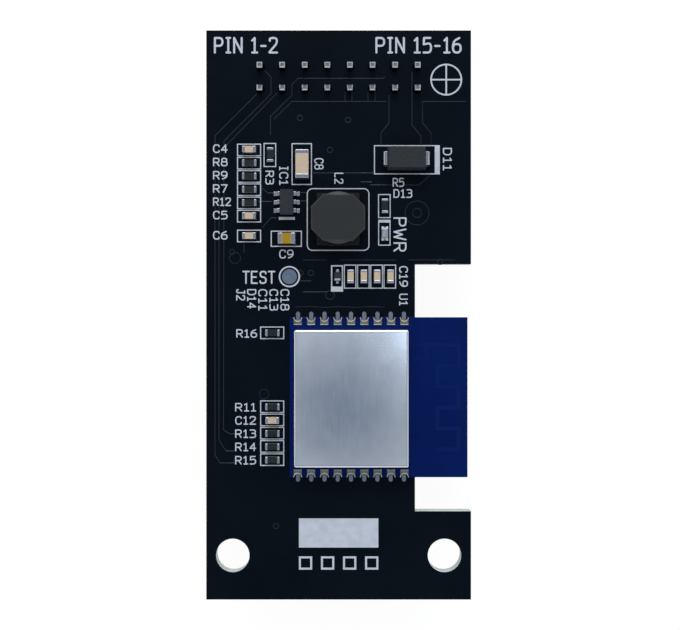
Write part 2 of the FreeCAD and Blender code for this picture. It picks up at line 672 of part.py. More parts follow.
def inductor():
    """A drum core on a moulded base, its winding, and two flat terminals under the base's ends."""
    x, y = INDUCTOR_X, INDUCTOR_Y
    base_z = SEAT + INDUCTOR_TERMINAL
    foot_z = base_z + INDUCTOR_BASE_HEIGHT
    winding_z = foot_z + INDUCTOR_FOOT_FLANGE
    winding_height = WINDING_WIRE * WINDING_LAYER_COUNT
    flange_z = winding_z + winding_height

    half_x, half_y = INDUCTOR_LENGTH / 2, INDUCTOR_FLAT / 2
    octagon = [
        (x - half_x + INDUCTOR_CORNER, y - half_y, 0),
        (x + half_x - INDUCTOR_CORNER, y - half_y, 0),
        (x + half_x, y - half_y + INDUCTOR_CORNER, 0),
        (x + half_x, y + half_y - INDUCTOR_CORNER, 0),
        (x + half_x - INDUCTOR_CORNER, y + half_y, 0),
        (x - half_x + INDUCTOR_CORNER, y + half_y, 0),
        (x - half_x, y + half_y - INDUCTOR_CORNER, 0),
        (x - half_x, y - half_y + INDUCTOR_CORNER, 0),
    ]
    flange = prism(octagon, flange_z, INDUCTOR_TOP_FLANGE)
    flange = flange.makeChamfer(INDUCTOR_BEVEL, edges_at(flange, flange_z + INDUCTOR_TOP_FLANGE))
    rim = disc(x, y, flange_z, INDUCTOR_DISC_DIAMETER, INDUCTOR_DISC_RIM)
    radius = INDUCTOR_DISC_DIAMETER / 2
    slope = Part.makeCone(
        radius, radius - INDUCTOR_DISC_SLOPE, INDUCTOR_TOP_FLANGE - INDUCTOR_DISC_RIM,
        vec(x, y, flange_z + INDUCTOR_DISC_RIM))
    flange = one_solid(flange.fuse(rim).fuse(slope))
    post = disc(x, y, winding_z, INDUCTOR_POST_DIAMETER, winding_height)
    foot = disc(x, y, foot_z, INDUCTOR_FOOT_DIAMETER, INDUCTOR_FOOT_FLANGE)
    core = one_solid(flange.fuse(post).fuse(foot))

    inner, outer = INDUCTOR_POST_DIAMETER / 2, WINDING_DIAMETER / 2
    wire = WINDING_WIRE / 2
    section = [vec(inner, 0, winding_height), vec(inner, 0, 0), vec(outer - wire, 0, 0)]
    for i in range(WINDING_LAYER_COUNT):
        low = i * WINDING_WIRE
        section += [vec(outer, 0, low + wire), vec(outer - wire, 0, low + 2 * wire)]
    winding = Part.Face(Part.makePolygon(section + section[:1])).revolve(vec(0, 0, 0), vec(0, 0, 1), 360)
    winding = placed(winding, x, y, winding_z)

    base = block(x, y, base_z, INDUCTOR_BASE_WIDTH, INDUCTOR_BASE_LENGTH, INDUCTOR_BASE_HEIGHT)
    terminals = []
    for side in (-1, 1):
        middle = y + side * (INDUCTOR_BASE_LENGTH - INDUCTOR_TERMINAL_REACH) / 2
        terminals.append(block(
            x, middle, SEAT, INDUCTOR_TERMINAL_WIDTH, INDUCTOR_TERMINAL_REACH, INDUCTOR_TERMINAL))
    return core, winding, base, terminals


def power_diode():
    """A moulded block between two leads that bend down its ends and under it."""
    x, y = INDUCTOR_X + DIODE_FROM_INDUCTOR, INDUCTOR_Y + DIODE_ABOVE_INDUCTOR
    parting = (DIODE_HEIGHT - DIODE_LEAD_SHEET) / 2
    body = moulded_body(
        x, y, SEAT + DIODE_LEAD_SHEET, DIODE_LENGTH, DIODE_WIDTH, DIODE_HEIGHT - DIODE_LEAD_SHEET,
        DIODE_DRAFT, parting)
    half = DIODE_LENGTH / 2
    outside = half + DIODE_LEAD_REACH - DIODE_LEAD_SHEET / 2
    path = [
        (half, DIODE_LEAD_SHEET + parting),
        (outside, DIODE_LEAD_SHEET + parting),
        (outside, DIODE_LEAD_SHEET / 2),
        (outside - DIODE_LEAD_FOOT, DIODE_LEAD_SHEET / 2),
    ]
    lead = bent_strip(path, DIODE_LEAD_SHEET, DIODE_LEAD_BEND, DIODE_LEAD_WIDTH)
    return body, [placed(lead, x, y, SEAT, turn) for turn in (0, 180)]


def small_diode():
    """A small moulded package on two flat leads, standing upright in plan."""
    x, y = SMALL_DIODE_X, CHIP_ROW_Y
    z = SEAT + SMALL_DIODE_LEAD_SHEET
    height = SMALL_DIODE_HEIGHT - SMALL_DIODE_LEAD_SHEET
    body = moulded_body(
        x, y, z, SMALL_DIODE_WIDTH, SMALL_DIODE_LENGTH, height, SMALL_DIODE_DRAFT, SMALL_DIODE_PARTING)
    length = SMALL_DIODE_LEAD_REACH + SMALL_DIODE_LEAD_UNDER
    leads = []
    for side in (-1, 1):
        middle = y + side * (SMALL_DIODE_LENGTH / 2 - SMALL_DIODE_LEAD_UNDER + length / 2)
        leads.append(block(x, middle, SEAT, SMALL_DIODE_LEAD_WIDTH, length, SMALL_DIODE_LEAD_SHEET))
    return body, leads


def regulator():
    """A six-lead package with a dimple that marks its first lead."""
    x, y = INDUCTOR_X - REGULATOR_FROM_INDUCTOR, INDUCTOR_Y + REGULATOR_ABOVE_INDUCTOR
    body = (REGULATOR_WIDTH, REGULATOR_LENGTH, REGULATOR_HEIGHT, REGULATOR_DRAFT, REGULATOR_STANDOFF)
    lead = (
        REGULATOR_LEAD_WIDTH, REGULATOR_LEAD_SHEET, REGULATOR_LEAD_REACH, REGULATOR_LEAD_SHOULDER,
        REGULATOR_LEAD_SLOPE)
    body, leads = gull_wing_package(x, y, SEAT, body, lead, REGULATOR_LEAD_COUNT, REGULATOR_LEAD_PITCH)
    dimple = disc(
        x + REGULATOR_WIDTH / 2 - REGULATOR_DRAFT - REGULATOR_DIMPLE,
        y - REGULATOR_LENGTH / 2 + REGULATOR_DRAFT + REGULATOR_DIMPLE,
        SEAT + REGULATOR_HEIGHT - REGULATOR_DIMPLE_DEPTH, REGULATOR_DIMPLE, REGULATOR_DIMPLE_DEPTH)
    return body.cut(dimple).Solids[0], leads


def indicator_lamp():
    """A lamp on a small base with notched, plated ends and a moulded lens."""
    x, y = LAMP_X, LAMP_Y
    notches = Part.makeCompound([
        disc(x, y + side * LAMP_LENGTH / 2, SEAT, 2 * LAMP_NOTCH_RADIUS, LAMP_BASE) for side in (-1, 1)])
    core = block(
        x, y, SEAT + LAMP_TERMINAL, LAMP_WIDTH, LAMP_LENGTH - 2 * LAMP_TERMINAL,
        LAMP_BASE - 2 * LAMP_TERMINAL)
    terminals = []
    for side in (-1, 1):
        middle = y + side * (LAMP_LENGTH - LAMP_TERMINAL_REACH) / 2
        wrap = block(x, middle, SEAT, LAMP_WIDTH, LAMP_TERMINAL_REACH, LAMP_BASE)
        terminals.append(wrap.cut(core).cut(notches).Solids[0])
    lens_z = SEAT + LAMP_BASE - LAMP_TERMINAL
    lens = moulded_body(
        x, y, lens_z, LAMP_WIDTH, LAMP_LENS_LENGTH, LAMP_LENS_HEIGHT, LAMP_LENS_DRAFT, LAMP_LENS_HEIGHT / 2)
    return core.cut(notches).Solids[0], lens, terminals


def foot_of(lead, sheet):
    """The lower half of the sheet where a bent lead rests on the board."""
    box = lead.BoundBox
    return lead.common(block(box.Center.x, box.Center.y, SEAT, box.XLength, box.YLength, sheet / 2))


def land_under(piece):
    """A land of the size of a piece's footprint on the board."""
    box = piece.BoundBox
    return block(box.Center.x, box.Center.y, TOP, box.XLength, box.YLength, LAND_THICKNESS)


def ink_frame(x, y, length, width, radius=0.0, line=INK_LINE):
    """A printed outline whose outer edge is length by width."""
    outer = prism(rectangle(x, y, length, width, radius), TOP, INK_THICKNESS)
    inner = prism(
        rectangle(x, y, length - 2 * line, width - 2 * line, max(radius - line, 0)), TOP, INK_THICKNESS)
    return outer.cut(inner).Solids[0]


def barred_frame(x, y, width, to_plain_end, to_bar, bar, bar_side, line=INK_LINE):
    """A frame round an upright part, with a solid bar across the end on bar_side of it."""
    to_bar_end = to_bar + bar
    middle = y + bar_side * (to_bar_end - to_plain_end) / 2
    return [
        ink_frame(x, middle, width, to_plain_end + to_bar_end, line=line),
        block(x, y + bar_side * (to_bar + bar / 2), TOP, width, bar, INK_THICKNESS),
    ]


def joined(shapes):
    """Printed shapes that touch become one layer of ink; the others stay apart."""
    return shapes[0].multiFuse(shapes[1:]).removeSplitter().Solids


def component_frames():
    """The printed outlines round the parts, with a bar at the end that marks polarity."""
    length = CHIP_LENGTH + 2 * (CHIP_FRAME_END_GAP + INK_LINE)
    width = CHIP_FRAME_WIDTH
    frames = []
    for x, y, standing in CAPACITOR_PLACES + RESISTOR_PLACES:
        along_x, along_y = (width, length) if standing else (length, width)
        frames.append(ink_frame(x - CHIP_FRAME_OFFSET, y, along_x, along_y))

    x, y = INDUCTOR_X - INPUT_CAP_FROM_INDUCTOR, INDUCTOR_Y + INPUT_CAP_ABOVE_INDUCTOR
    frames.append(ink_frame(
        x + INPUT_CAP_FRAME_SHIFT_X, y + INPUT_CAP_FRAME_SHIFT_Y,
        INPUT_CAP_WIDTH + 2 * (INPUT_CAP_FRAME_SIDE_GAP + INK_LINE),
        INPUT_CAP_LENGTH + 2 * (INPUT_CAP_FRAME_GAP + INK_LINE)))
    x, y = INDUCTOR_X - OUTPUT_CAP_FROM_INDUCTOR, INDUCTOR_Y - OUTPUT_CAP_BELOW_INDUCTOR
    frames.append(ink_frame(
        x - OUTPUT_CAP_FRAME_OFFSET, y, OUTPUT_CAP_LENGTH + 2 * (OUTPUT_CAP_FRAME_GAP + INK_LINE),
        OUTPUT_CAP_WIDTH + 2 * (OUTPUT_CAP_FRAME_SIDE_GAP + INK_LINE)))
    side = INDUCTOR_LENGTH + 2 * INDUCTOR_FRAME_GAP
    frames.append(ink_frame(INDUCTOR_X, INDUCTOR_Y, side, side, INDUCTOR_FRAME_RADIUS))

    x = INDUCTOR_X + DIODE_FROM_INDUCTOR + DIODE_FRAME_OFFSET
    y = INDUCTOR_Y + DIODE_ABOVE_INDUCTOR
    length = DIODE_LENGTH + 2 * DIODE_LEAD_REACH + 2 * DIODE_FRAME_END_GAP
    width = DIODE_WIDTH + 2 * DIODE_FRAME_SIDE_GAP
    frames.append(ink_frame(x, y, length, width))
    frames.append(block(
        x + (length - DIODE_FRAME_BAR) / 2, y, TOP, DIODE_FRAME_BAR, width, INK_THICKNESS))

    frames += barred_frame(
        SMALL_DIODE_X - CHIP_FRAME_OFFSET, CHIP_ROW_Y, SMALL_DIODE_WIDTH + 2 * SMALL_DIODE_FRAME_SIDE_GAP,
        SMALL_DIODE_LENGTH / 2 + SMALL_DIODE_FRAME_PLAIN_GAP,
        SMALL_DIODE_LENGTH / 2 + SMALL_DIODE_FRAME_BAR_GAP, SMALL_DIODE_FRAME_BAR, -1, SMALL_DIODE_FRAME_LINE)
    frames += barred_frame(
        LAMP_X - CHIP_FRAME_OFFSET, LAMP_Y, LAMP_WIDTH + 2 * LAMP_FRAME_SIDE_GAP,
        LAMP_LENGTH / 2 + LAMP_FRAME_PLAIN_GAP,
        LAMP_LENGTH / 2 + LAMP_FRAME_BAR_GAP, LAMP_FRAME_BAR, 1)

    x, y = INDUCTOR_X - REGULATOR_FROM_INDUCTOR, INDUCTOR_Y + REGULATOR_ABOVE_INDUCTOR
    below = y - REGULATOR_LENGTH / 2 - REGULATOR_MARK_GAP - REGULATOR_MARK_WIDTH / 2
    frames.append(block(x, below, TOP, REGULATOR_MARK_LENGTH, REGULATOR_MARK_WIDTH, INK_THICKNESS))
    return joined(frames)


def printed_marks():
    """A write-on field and a row of tick boxes between the screw holes."""
    marks = [block(0, LABEL_TO_SCREW_LINE + LABEL_HEIGHT / 2, TOP, LABEL_WIDTH, LABEL_HEIGHT, INK_THICKNESS)]
    pitch = (LABEL_WIDTH - TICK_BOX) / (TICK_BOX_COUNT - 1)
    y = LABEL_TO_SCREW_LINE - TICK_BOX_BELOW_LABEL - TICK_BOX / 2
    for i in range(TICK_BOX_COUNT):
        x = (i - (TICK_BOX_COUNT - 1) / 2) * pitch
        marks.append(ink_frame(x, y, TICK_BOX, TICK_BOX, line=TICK_BOX_LINE))
    return joined(marks)


def write(name, solids):
    """One file for each named piece; a list of solids is a group of like pieces."""
    if isinstance(solids, list):
        shape = Part.makeCompound(solids) if len(solids) > 1 else solids[0]
    else:
        shape = solids
    shape.exportStep(os.path.join("parts", name + ".step"))


def build():
    os.makedirs("parts", exist_ok=True)
    footprints = []

    write("circuit_board", circuit_board())
    write("header_housing", header_housing())
    write("header_pins", header_pins())

    write("module_board", module_board())
    write("module_contacts", module_contacts())
    write("antenna_trace", antenna_trace())
    write("shield_can", shield_can())
    chip, lands = radio_chip()
    write("radio_chip", chip)
    write("radio_chip_leads", lands)
    body, leads = memory_chip()
    write("memory_chip", body)
    write("memory_chip_leads", leads)
    tub, lid = crystal()
    write("crystal_tub", tub)
    write("crystal_lid", lid)
    bodies, ends = micro_chips()
    write("shielded_capacitors", bodies)
    write("shielded_capacitor_ends", ends)

    core, winding, base, terminals = inductor()
    write("inductor_core", core)
    write("inductor_winding", winding)
    write("inductor_base", base)
    write("inductor_terminals", terminals)
    footprints += terminals

    body, leads = power_diode()
    write("power_diode", body)
    write("power_diode_leads", leads)
    footprints += [foot_of(lead, DIODE_LEAD_SHEET) for lead in leads]

    body, leads = small_diode()
    write("small_diode", body)
    write("small_diode_leads", leads)
    footprints += leads

    body, leads = regulator()
    write("regulator", body)
    write("regulator_leads", leads)
    footprints += [foot_of(lead, REGULATOR_LEAD_SHEET) for lead in leads]

    base, lens, terminals = indicator_lamp()
    write("lamp_base", base)
    write("lamp_lens", lens)
    write("lamp_terminals", terminals)
    footprints += terminals

    capacitor = chip_part(CHIP_LENGTH, CHIP_WIDTH, CHIP_CAPACITOR_HEIGHT, CHIP_CAPACITOR_BAND)
    all_ends = []
    for number, place in enumerate(CAPACITOR_PLACES, 1):
        body, ends = set_chip(capacitor, *place)
        write("chip_capacitor_%d" % number, body)
        all_ends += ends
    write("chip_capacitor_ends", all_ends)
    footprints += all_ends

    resistor = chip_part(
        CHIP_RESISTOR_LENGTH, CHIP_WIDTH, CHIP_RESISTOR_HEIGHT, CHIP_RESISTOR_BAND, OVERCOAT_THICKNESS)
    all_ends = []
    for number, place in enumerate(RESISTOR_PLACES, 1):
        body, ends = set_chip(resistor, *place)
        write("chip_resistor_%d" % number, body)
        all_ends += ends
    write("chip_resistor_ends", all_ends)
    footprints += all_ends

    large = chip_part(INPUT_CAP_LENGTH, INPUT_CAP_WIDTH, INPUT_CAP_HEIGHT, INPUT_CAP_BAND)
    body, ends = set_chip(
        large, INDUCTOR_X - INPUT_CAP_FROM_INDUCTOR, INDUCTOR_Y + INPUT_CAP_ABOVE_INDUCTOR, True)
    write("input_capacitor", body)
    write("input_capacitor_ends", ends)
    footprints += ends
    large = chip_part(OUTPUT_CAP_LENGTH, OUTPUT_CAP_WIDTH, OUTPUT_CAP_HEIGHT, OUTPUT_CAP_BAND)
    body, ends = set_chip(
        large, INDUCTOR_X - OUTPUT_CAP_FROM_INDUCTOR, INDUCTOR_Y - OUTPUT_CAP_BELOW_INDUCTOR, False)
    write("output_capacitor", body)
    write("output_capacitor_ends", ends)
    footprints += ends

    test_pad = disc(-TEST_PAD_FROM_CENTRE, CHIP_ROW_Y, TOP, TEST_PAD_DIAMETER, LAND_THICKNESS)
    write("module_lands", module_lands())
    write("part_lands", [land_under(piece) for piece in footprints])
    write("test_pad", test_pad)
    write("component_frames", component_frames())
    write("printed_marks", printed_marks())


build()
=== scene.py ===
import json
import math
from types import SimpleNamespace

import bpy
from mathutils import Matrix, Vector
from mathutils.geometry import delaunay_2d_cdt


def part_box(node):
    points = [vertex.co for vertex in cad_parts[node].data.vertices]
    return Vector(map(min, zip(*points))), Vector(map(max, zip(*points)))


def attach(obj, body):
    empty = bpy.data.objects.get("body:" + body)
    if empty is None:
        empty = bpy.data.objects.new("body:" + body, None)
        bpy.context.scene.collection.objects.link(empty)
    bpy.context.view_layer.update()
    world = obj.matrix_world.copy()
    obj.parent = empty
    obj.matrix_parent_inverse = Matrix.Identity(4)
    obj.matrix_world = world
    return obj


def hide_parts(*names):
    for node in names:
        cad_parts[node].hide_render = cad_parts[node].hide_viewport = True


# Wireless module board: the finish of every part, the printed words, the copper that shows as low
# ridges under the solder mask, the chips' metal ends, the small diode's band, the contacts' lips in a
# painted-highlight gold and the inductor's wire. Sizes are in millimetres, and MM turns them to metres.

MM = 0.001

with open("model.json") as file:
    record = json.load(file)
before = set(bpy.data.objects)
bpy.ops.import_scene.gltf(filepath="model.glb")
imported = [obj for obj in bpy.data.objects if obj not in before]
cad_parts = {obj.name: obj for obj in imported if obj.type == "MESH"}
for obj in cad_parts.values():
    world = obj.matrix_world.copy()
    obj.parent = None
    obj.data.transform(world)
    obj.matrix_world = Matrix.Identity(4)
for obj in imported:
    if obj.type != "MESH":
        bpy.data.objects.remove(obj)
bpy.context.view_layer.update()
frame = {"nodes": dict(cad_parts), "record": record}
NODES = frame["nodes"]


def node_box(name):
    """The lowest and highest corner of a node, in millimetres."""
    low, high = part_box(name)
    return low / MM, high / MM


BOARD_LOW, BOARD_HIGH = node_box("circuit_board")
MODULE_LOW, MODULE_HIGH = node_box("module_board")
PINS_LOW, PINS_HIGH = node_box("header_pins")
PAD_LOW, PAD_HIGH = node_box("test_pad")
SMALL_DIODE_LOW, SMALL_DIODE_HIGH = node_box("small_diode")
WINDING_LOW, WINDING_HIGH = node_box("inductor_winding")
CONTACTS_LOW, CONTACTS_HIGH = node_box("module_contacts")

TOP = BOARD_HIGH.z
INK_TOP = node_box("printed_marks")[1].z

# The photograph's scale on the board's top face, and the pixel at which the frame's origin lies
PIXELS_PER_MM = 8.823
ORIGIN_PIXEL = (338.63, 555.43)


def on_board(pixel):
    """The place on the board's top, in millimetres, of a pixel of the photograph."""
    x = (pixel[0] - ORIGIN_PIXEL[0]) / PIXELS_PER_MM
    y = (ORIGIN_PIXEL[1] - pixel[1]) / PIXELS_PER_MM
    return x, y


# Materials

def linear(code):
    """The linear colour of an sRGB hex value."""
    channels = [int(code[i:i + 2], 16) / 255 for i in (0, 2, 4)]
    return [c / 12.92 if c <= 0.04045 else ((c + 0.055) / 1.055) ** 2.4 for c in channels] + [1.0]


def add_node(tree, kind, inputs=None, **settings):
    """Adds a shader node, sets it up, and sets or links its inputs."""
    made = tree.nodes.new("ShaderNode" + kind)
    for name, value in settings.items():
        setattr(made, name, value)
    for socket, value in (inputs or {}).items():
        if isinstance(value, bpy.types.NodeSocket):
            tree.links.new(value, made.inputs[socket])
        else:
            made.inputs[socket].default_value = value
    return made


def start_finish(name, surface):
    """A material with one Principled shader: the material, its nodes, the shader and the place in metres."""
    material = bpy.data.materials.new(name)
    material.use_nodes = True
    tree = material.node_tree
    tree.nodes.clear()
    shader = add_node(tree, "BsdfPrincipled", surface)
    add_node(tree, "OutputMaterial", {"Surface": shader.outputs["BSDF"]})
    place = add_node(tree, "TexCoord").outputs["Object"]
    return SimpleNamespace(material=material, tree=tree, shader=shader, place=place)


# Grain and speckle finer than 0.05 mm wouldn't show in the render, so the grain of moulds, mills and fired
# parts is drawn at 0.05 to 0.15 mm.

# How many times a field of blotches is broken up finer, and how strong each finer one is beside the last
USUAL_DETAIL = 3.0
FINER_STRENGTH = 0.55
# The stretch of a field that isn't drawn out along any axis
EVEN = (1.0, 1.0, 1.0)

# A colour and a roughness go from their low to their high value over these stretches of a field.
COLOUR_RUN = (0.35, 0.65)
ROUGHNESS_RUN = (0.3, 0.7)

# How many rays look for a rounded edge
EDGE_RAYS = 6


def blotches(finish, size, detail, stretch):
    """A field of soft blotches of a size in millimetres. A stretch below 1 draws them out along its axis."""
    spread = add_node(finish.tree, "Mapping", {"Vector": finish.place, "Scale": stretch})
    field = add_node(finish.tree, "TexNoise", {
        "Vector": spread.outputs["Vector"], "Scale": 1 / (size * MM), "Detail": detail,
        "Roughness": FINER_STRENGTH})
    return field.outputs["Fac"]


def clouded(finish, low, high, size, detail=USUAL_DETAIL, stretch=EVEN):
    """A colour that wanders between two hex values, in blotches of a size in millimetres."""
    ramp = add_node(finish.tree, "ValToRGB", {"Fac": blotches(finish, size, detail, stretch)})
    for stop, position, code in zip(ramp.color_ramp.elements, COLOUR_RUN, (low, high)):
        stop.position = position
        stop.color = linear(code)
    return ramp.outputs["Color"]


def tint(finish, low, high, size, detail=USUAL_DETAIL):
    """Gives the surface a colour that wanders between two hex values."""
    finish.tree.links.new(clouded(finish, low, high, size, detail), finish.shader.inputs["Base Color"])


def roughen(finish, middle, spread, size, detail=USUAL_DETAIL, stretch=EVEN):
    """Lets the roughness wander about a middle value, in blotches of a size in millimetres."""
    wander = add_node(finish.tree, "MapRange", {
        "Value": blotches(finish, size, detail, stretch),
        "From Min": ROUGHNESS_RUN[0], "From Max": ROUGHNESS_RUN[1],
        "To Min": middle - spread, "To Max": middle + spread})
    finish.tree.links.new(wander.outputs["Result"], finish.shader.inputs["Roughness"])


def relief(finish, depth, size, detail=USUAL_DETAIL, stretch=EVEN, edge=None):
    """Bumps of a depth and a size in millimetres, and edges lit as if they were rounded by a radius."""
    inputs = {"Height": blotches(finish, size, detail, stretch), "Strength": 1.0, "Distance": depth * MM}
    if edge:
        rounded = add_node(finish.tree, "Bevel", {"Radius": edge * MM}, samples=EDGE_RAYS)
        inputs["Normal"] = rounded.outputs["Normal"]
    bump = add_node(finish.tree, "Bump", inputs)
    finish.tree.links.new(bump.outputs["Normal"], finish.shader.inputs["Normal"])


# A layer of glass cloth is about 0.18 mm thick and lies level. The mask laps 0.03 mm over the board's edge,
# and the holes' walls within 0.6 mm of the pins take the mask's dark skin as painted shade.
LAMINATE_LAYER = 0.18
ALONG_THE_CLOTH = (0.12, 0.12, 1.0)
MASK_WRAP = 0.03
PIN_HOLE_SHADE_REACH = 0.6

# The numbers of the sockets of a Mix node that mixes colours
FIRST_COLOUR = 6
SECOND_COLOUR = 7
MIXED_COLOUR = 2


def solder_mask(name, low_colour, high_colour, sheet_low, sheet_high):
    """Liquid solder mask over glass-fibre laminate, curtain coated and cured: a dark satin skin with a
    faint orange peel, a little lighter in patches. The cut sides show the bare laminate's pale layers
    of glass cloth, and the walls of the pin holes are painted with the dark skin as painted shade."""
    finish = start_finish(name, {"IOR": 1.5, "Specular IOR Level": 0.04})
    tree = finish.tree
    skin = clouded(finish, low_colour, high_colour, size=7.0)
    laminate = clouded(
        finish, "b9c8c4", "dbe5e2", size=LAMINATE_LAYER, detail=2.0, stretch=ALONG_THE_CLOTH)
    reaches = {
        "X": (PINS_LOW.x - PIN_HOLE_SHADE_REACH, PINS_HIGH.x + PIN_HOLE_SHADE_REACH),
        "Y": (PINS_LOW.y - PIN_HOLE_SHADE_REACH, PINS_HIGH.y + PIN_HOLE_SHADE_REACH),
        "Z": (sheet_low + MASK_WRAP, sheet_high - MASK_WRAP),
    }
    apart = add_node(tree, "SeparateXYZ", {"Vector": finish.place})
    within = {}
    for axis, (low, high) in reaches.items():
        near = add_node(tree, "Math", {
            0: apart.outputs[axis], 1: (low + high) / 2 * MM, 2: (high - low) / 2 * MM},
            operation="COMPARE")
        within[axis] = near.outputs[0]
    # The pin holes' walls keep the dark mask skin instead of laminate: painted shade.
    pin_hole_shade = add_node(tree, "Math", {0: within["X"], 1: within["Y"]}, operation="MULTIPLY")
    outside_hole_shade = add_node(tree, "Math", {0: 1.0, 1: pin_hole_shade.outputs[0]}, operation="SUBTRACT")
    bare = add_node(tree, "Math", {0: within["Z"], 1: outside_hole_shade.outputs[0]}, operation="MULTIPLY")
    mix = add_node(tree, "Mix", {
        "Factor": bare.outputs[0], FIRST_COLOUR: skin, SECOND_COLOUR: laminate}, data_type="RGBA")
    tree.links.new(mix.outputs[MIXED_COLOUR], finish.shader.inputs["Base Color"])
    roughen(finish, middle=0.4, spread=0.06, size=1.6)
    relief(finish, depth=0.0012, size=0.5, detail=2.0)
    return finish.material


def black_mask():
    """Black mask: nearly black with a touch of blue."""
    return solder_mask("black_solder_mask", "070f17", "0a121b", BOARD_LOW.z, BOARD_HIGH.z)


def blue_mask():
    """Blue mask: a deep clear blue over copper and laminate."""
    return solder_mask("blue_solder_mask", "051a55", "051e5d", MODULE_LOW.z, MODULE_HIGH.z)


def mask_on_copper(name, low_colour, high_colour, specular):
    """Solder mask where it runs up over etched copper: thinner, a shade lighter and glossier, so its
    slopes show as lines."""
    finish = start_finish(name, {"IOR": 1.5, "Specular IOR Level": specular})
    tint(finish, low_colour, high_colour, size=3.0)
    roughen(finish, middle=0.36, spread=0.14, size=2.5)
    relief(finish, depth=0.0012, size=0.5, detail=2.0)
    return finish.material


def screen_ink():
    """White epoxy ink, screen printed and baked: flat, a little cold, with the screen's fine grain."""
    finish = start_finish("screen_printed_ink", {
        "Roughness": 0.62, "IOR": 1.5, "Specular IOR Level": 0.3})
    tint(finish, "bec8d7", "cbd4e1", size=0.9)
    relief(finish, depth=0.003, size=0.12, detail=2.0)
    return finish.material


def tinned_copper(name, low_colour, high_colour):
    """Etched copper under an immersion tin finish: flat slate-grey metal, slightly cloudy."""
    finish = start_finish(name, {"Metallic": 1.0})
    tint(finish, low_colour, high_colour, size=0.7)
    roughen(finish, middle=0.44, spread=0.06, size=0.4)
    relief(finish, depth=0.002, size=0.15)
    return finish.material


def plated_metal(name, low_colour, high_colour, roughness, edge=None):
    """Metal under a thin plated or dipped skin: tin on leads, pins and end caps, solder on the lamp's ends
    (painted near white, a painted highlight), and a flash of gold on the crystal's steel lid. It is soft and
    even, and rounded edges catch the light."""
    finish = start_finish(name, {"Metallic": 1.0})
    tint(finish, low_colour, high_colour, size=0.5)
    roughen(finish, middle=roughness, spread=0.02, size=0.3)
    relief(finish, depth=0.0001, size=0.2, edge=edge)
    return finish.material


def gold_finish(name, low_colour, high_colour):
    """Immersion gold over nickel on the module's contacts: thin and khaki in dull light. The lips at the
    half holes are given a near-white copy, a painted highlight."""
    finish = start_finish(name, {"Metallic": 1.0})
    tint(finish, low_colour, high_colour, size=0.6)
    roughen(finish, middle=0.34, spread=0.04, size=0.25)
    relief(finish, depth=0.001, size=0.2, edge=0.06)
    return finish.material


# The mill's grain runs along the shield, about thirty times as long as it is wide.
ALONG_THE_MILL = (1.0, 0.03, 1.0)


def nickel_silver():
    """Nickel-silver sheet, rolled and drawn to a can: satin pale metal with the mill's very fine grain
    along its length, smooth enough to show a soft glow where a lamp stands in its reflection."""
    finish = start_finish("drawn_nickel_silver", {"Metallic": 1.0})
    tint(finish, "dfe3e8", "e9ecf0", size=3.0)
    roughen(finish, middle=0.135, spread=0.015, size=0.06, detail=2.0, stretch=ALONG_THE_MILL)
    relief(finish, depth=0.00003, size=0.06, detail=2.0, stretch=ALONG_THE_MILL)
    return finish.material


def moulded_resin(name, low_colour, high_colour, roughness):
    """Black resin, epoxy moulded round a chip or phenolic moulded under the inductor: charcoal, matt, with
    the grain of a spark-eroded mould."""
    finish = start_finish(name, {"IOR": 1.55, "Specular IOR Level": 0.2})
    tint(finish, low_colour, high_colour, size=0.25)
    roughen(finish, middle=roughness, spread=0.05, size=0.1)
    relief(finish, depth=0.006, size=0.07, detail=2.0)
    return finish.material


def laser_mark():
    """Epoxy resin marked by a laser: its skin is foamed to a flat, slightly mottled light grey."""
    finish = start_finish("laser_marked_epoxy", {"IOR": 1.5, "Specular IOR Level": 0.2})
    tint(finish, "a2a8af", "b3b9bf", size=0.15)
    roughen(finish, middle=0.675, spread=0.075, size=0.1)
    relief(finish, depth=0.004, size=0.06, detail=2.0)
    return finish.material


def header_nylon():
    """Glass-filled black nylon, injection moulded: deep black, slightly streaky, with a soft sheen."""
    finish = start_finish("moulded_nylon", {"IOR": 1.53, "Specular IOR Level": 0.5})
    tint(finish, "0f1011", "191a1b", size=0.8)
    roughen(finish, middle=0.45, spread=0.07, size=0.4, stretch=(0.2, 1.0, 1.0))
    relief(finish, depth=0.004, size=0.15)
    return finish.material


def fired_ceramic(name, low_colour, high_colour, roughness):
    """Barium titanate or alumina, pressed, cut and fired: an even matt body with the finest speckle."""
    finish = start_finish(name, {"IOR": 1.6, "Specular IOR Level": 0.3})
    tint(finish, low_colour, high_colour, size=0.12, detail=4.0)
    roughen(finish, middle=roughness, spread=0.06, size=0.2)
    relief(finish, depth=0.002, size=0.05, detail=2.0)
    return finish.material


# The glass coat laps over the slip's upper edges by this much.
RESISTOR_COAT_WRAP = 0.1


def resistor_body():
    """A slip of white alumina with a black glass coat fired on its face: dark and slightly glossy above,
    pale at the sides."""
    finish = start_finish("glass_coated_alumina", {"IOR": 1.5, "Specular IOR Level": 0.18})
    tree = finish.tree
    coat = clouded(finish, "202628", "2a3032", size=0.2)
    alumina = clouded(finish, "8d908c", "a3a6a1", size=0.15)
    height = add_node(tree, "SeparateXYZ", {"Vector": finish.place}).outputs["Z"]
    coat_level = node_box("chip_resistor_ends")[1].z - RESISTOR_COAT_WRAP
    above = add_node(tree, "Math", {0: height, 1: coat_level * MM}, operation="GREATER_THAN")
    mix = add_node(tree, "Mix", {
        "Factor": above.outputs[0], FIRST_COLOUR: alumina, SECOND_COLOUR: coat}, data_type="RGBA")
    tree.links.new(mix.outputs[MIXED_COLOUR], finish.shader.inputs["Base Color"])
    roughen(finish, middle=0.36, spread=0.06, size=0.3)
    relief(finish, depth=0.003, size=0.12)
    return finish.material


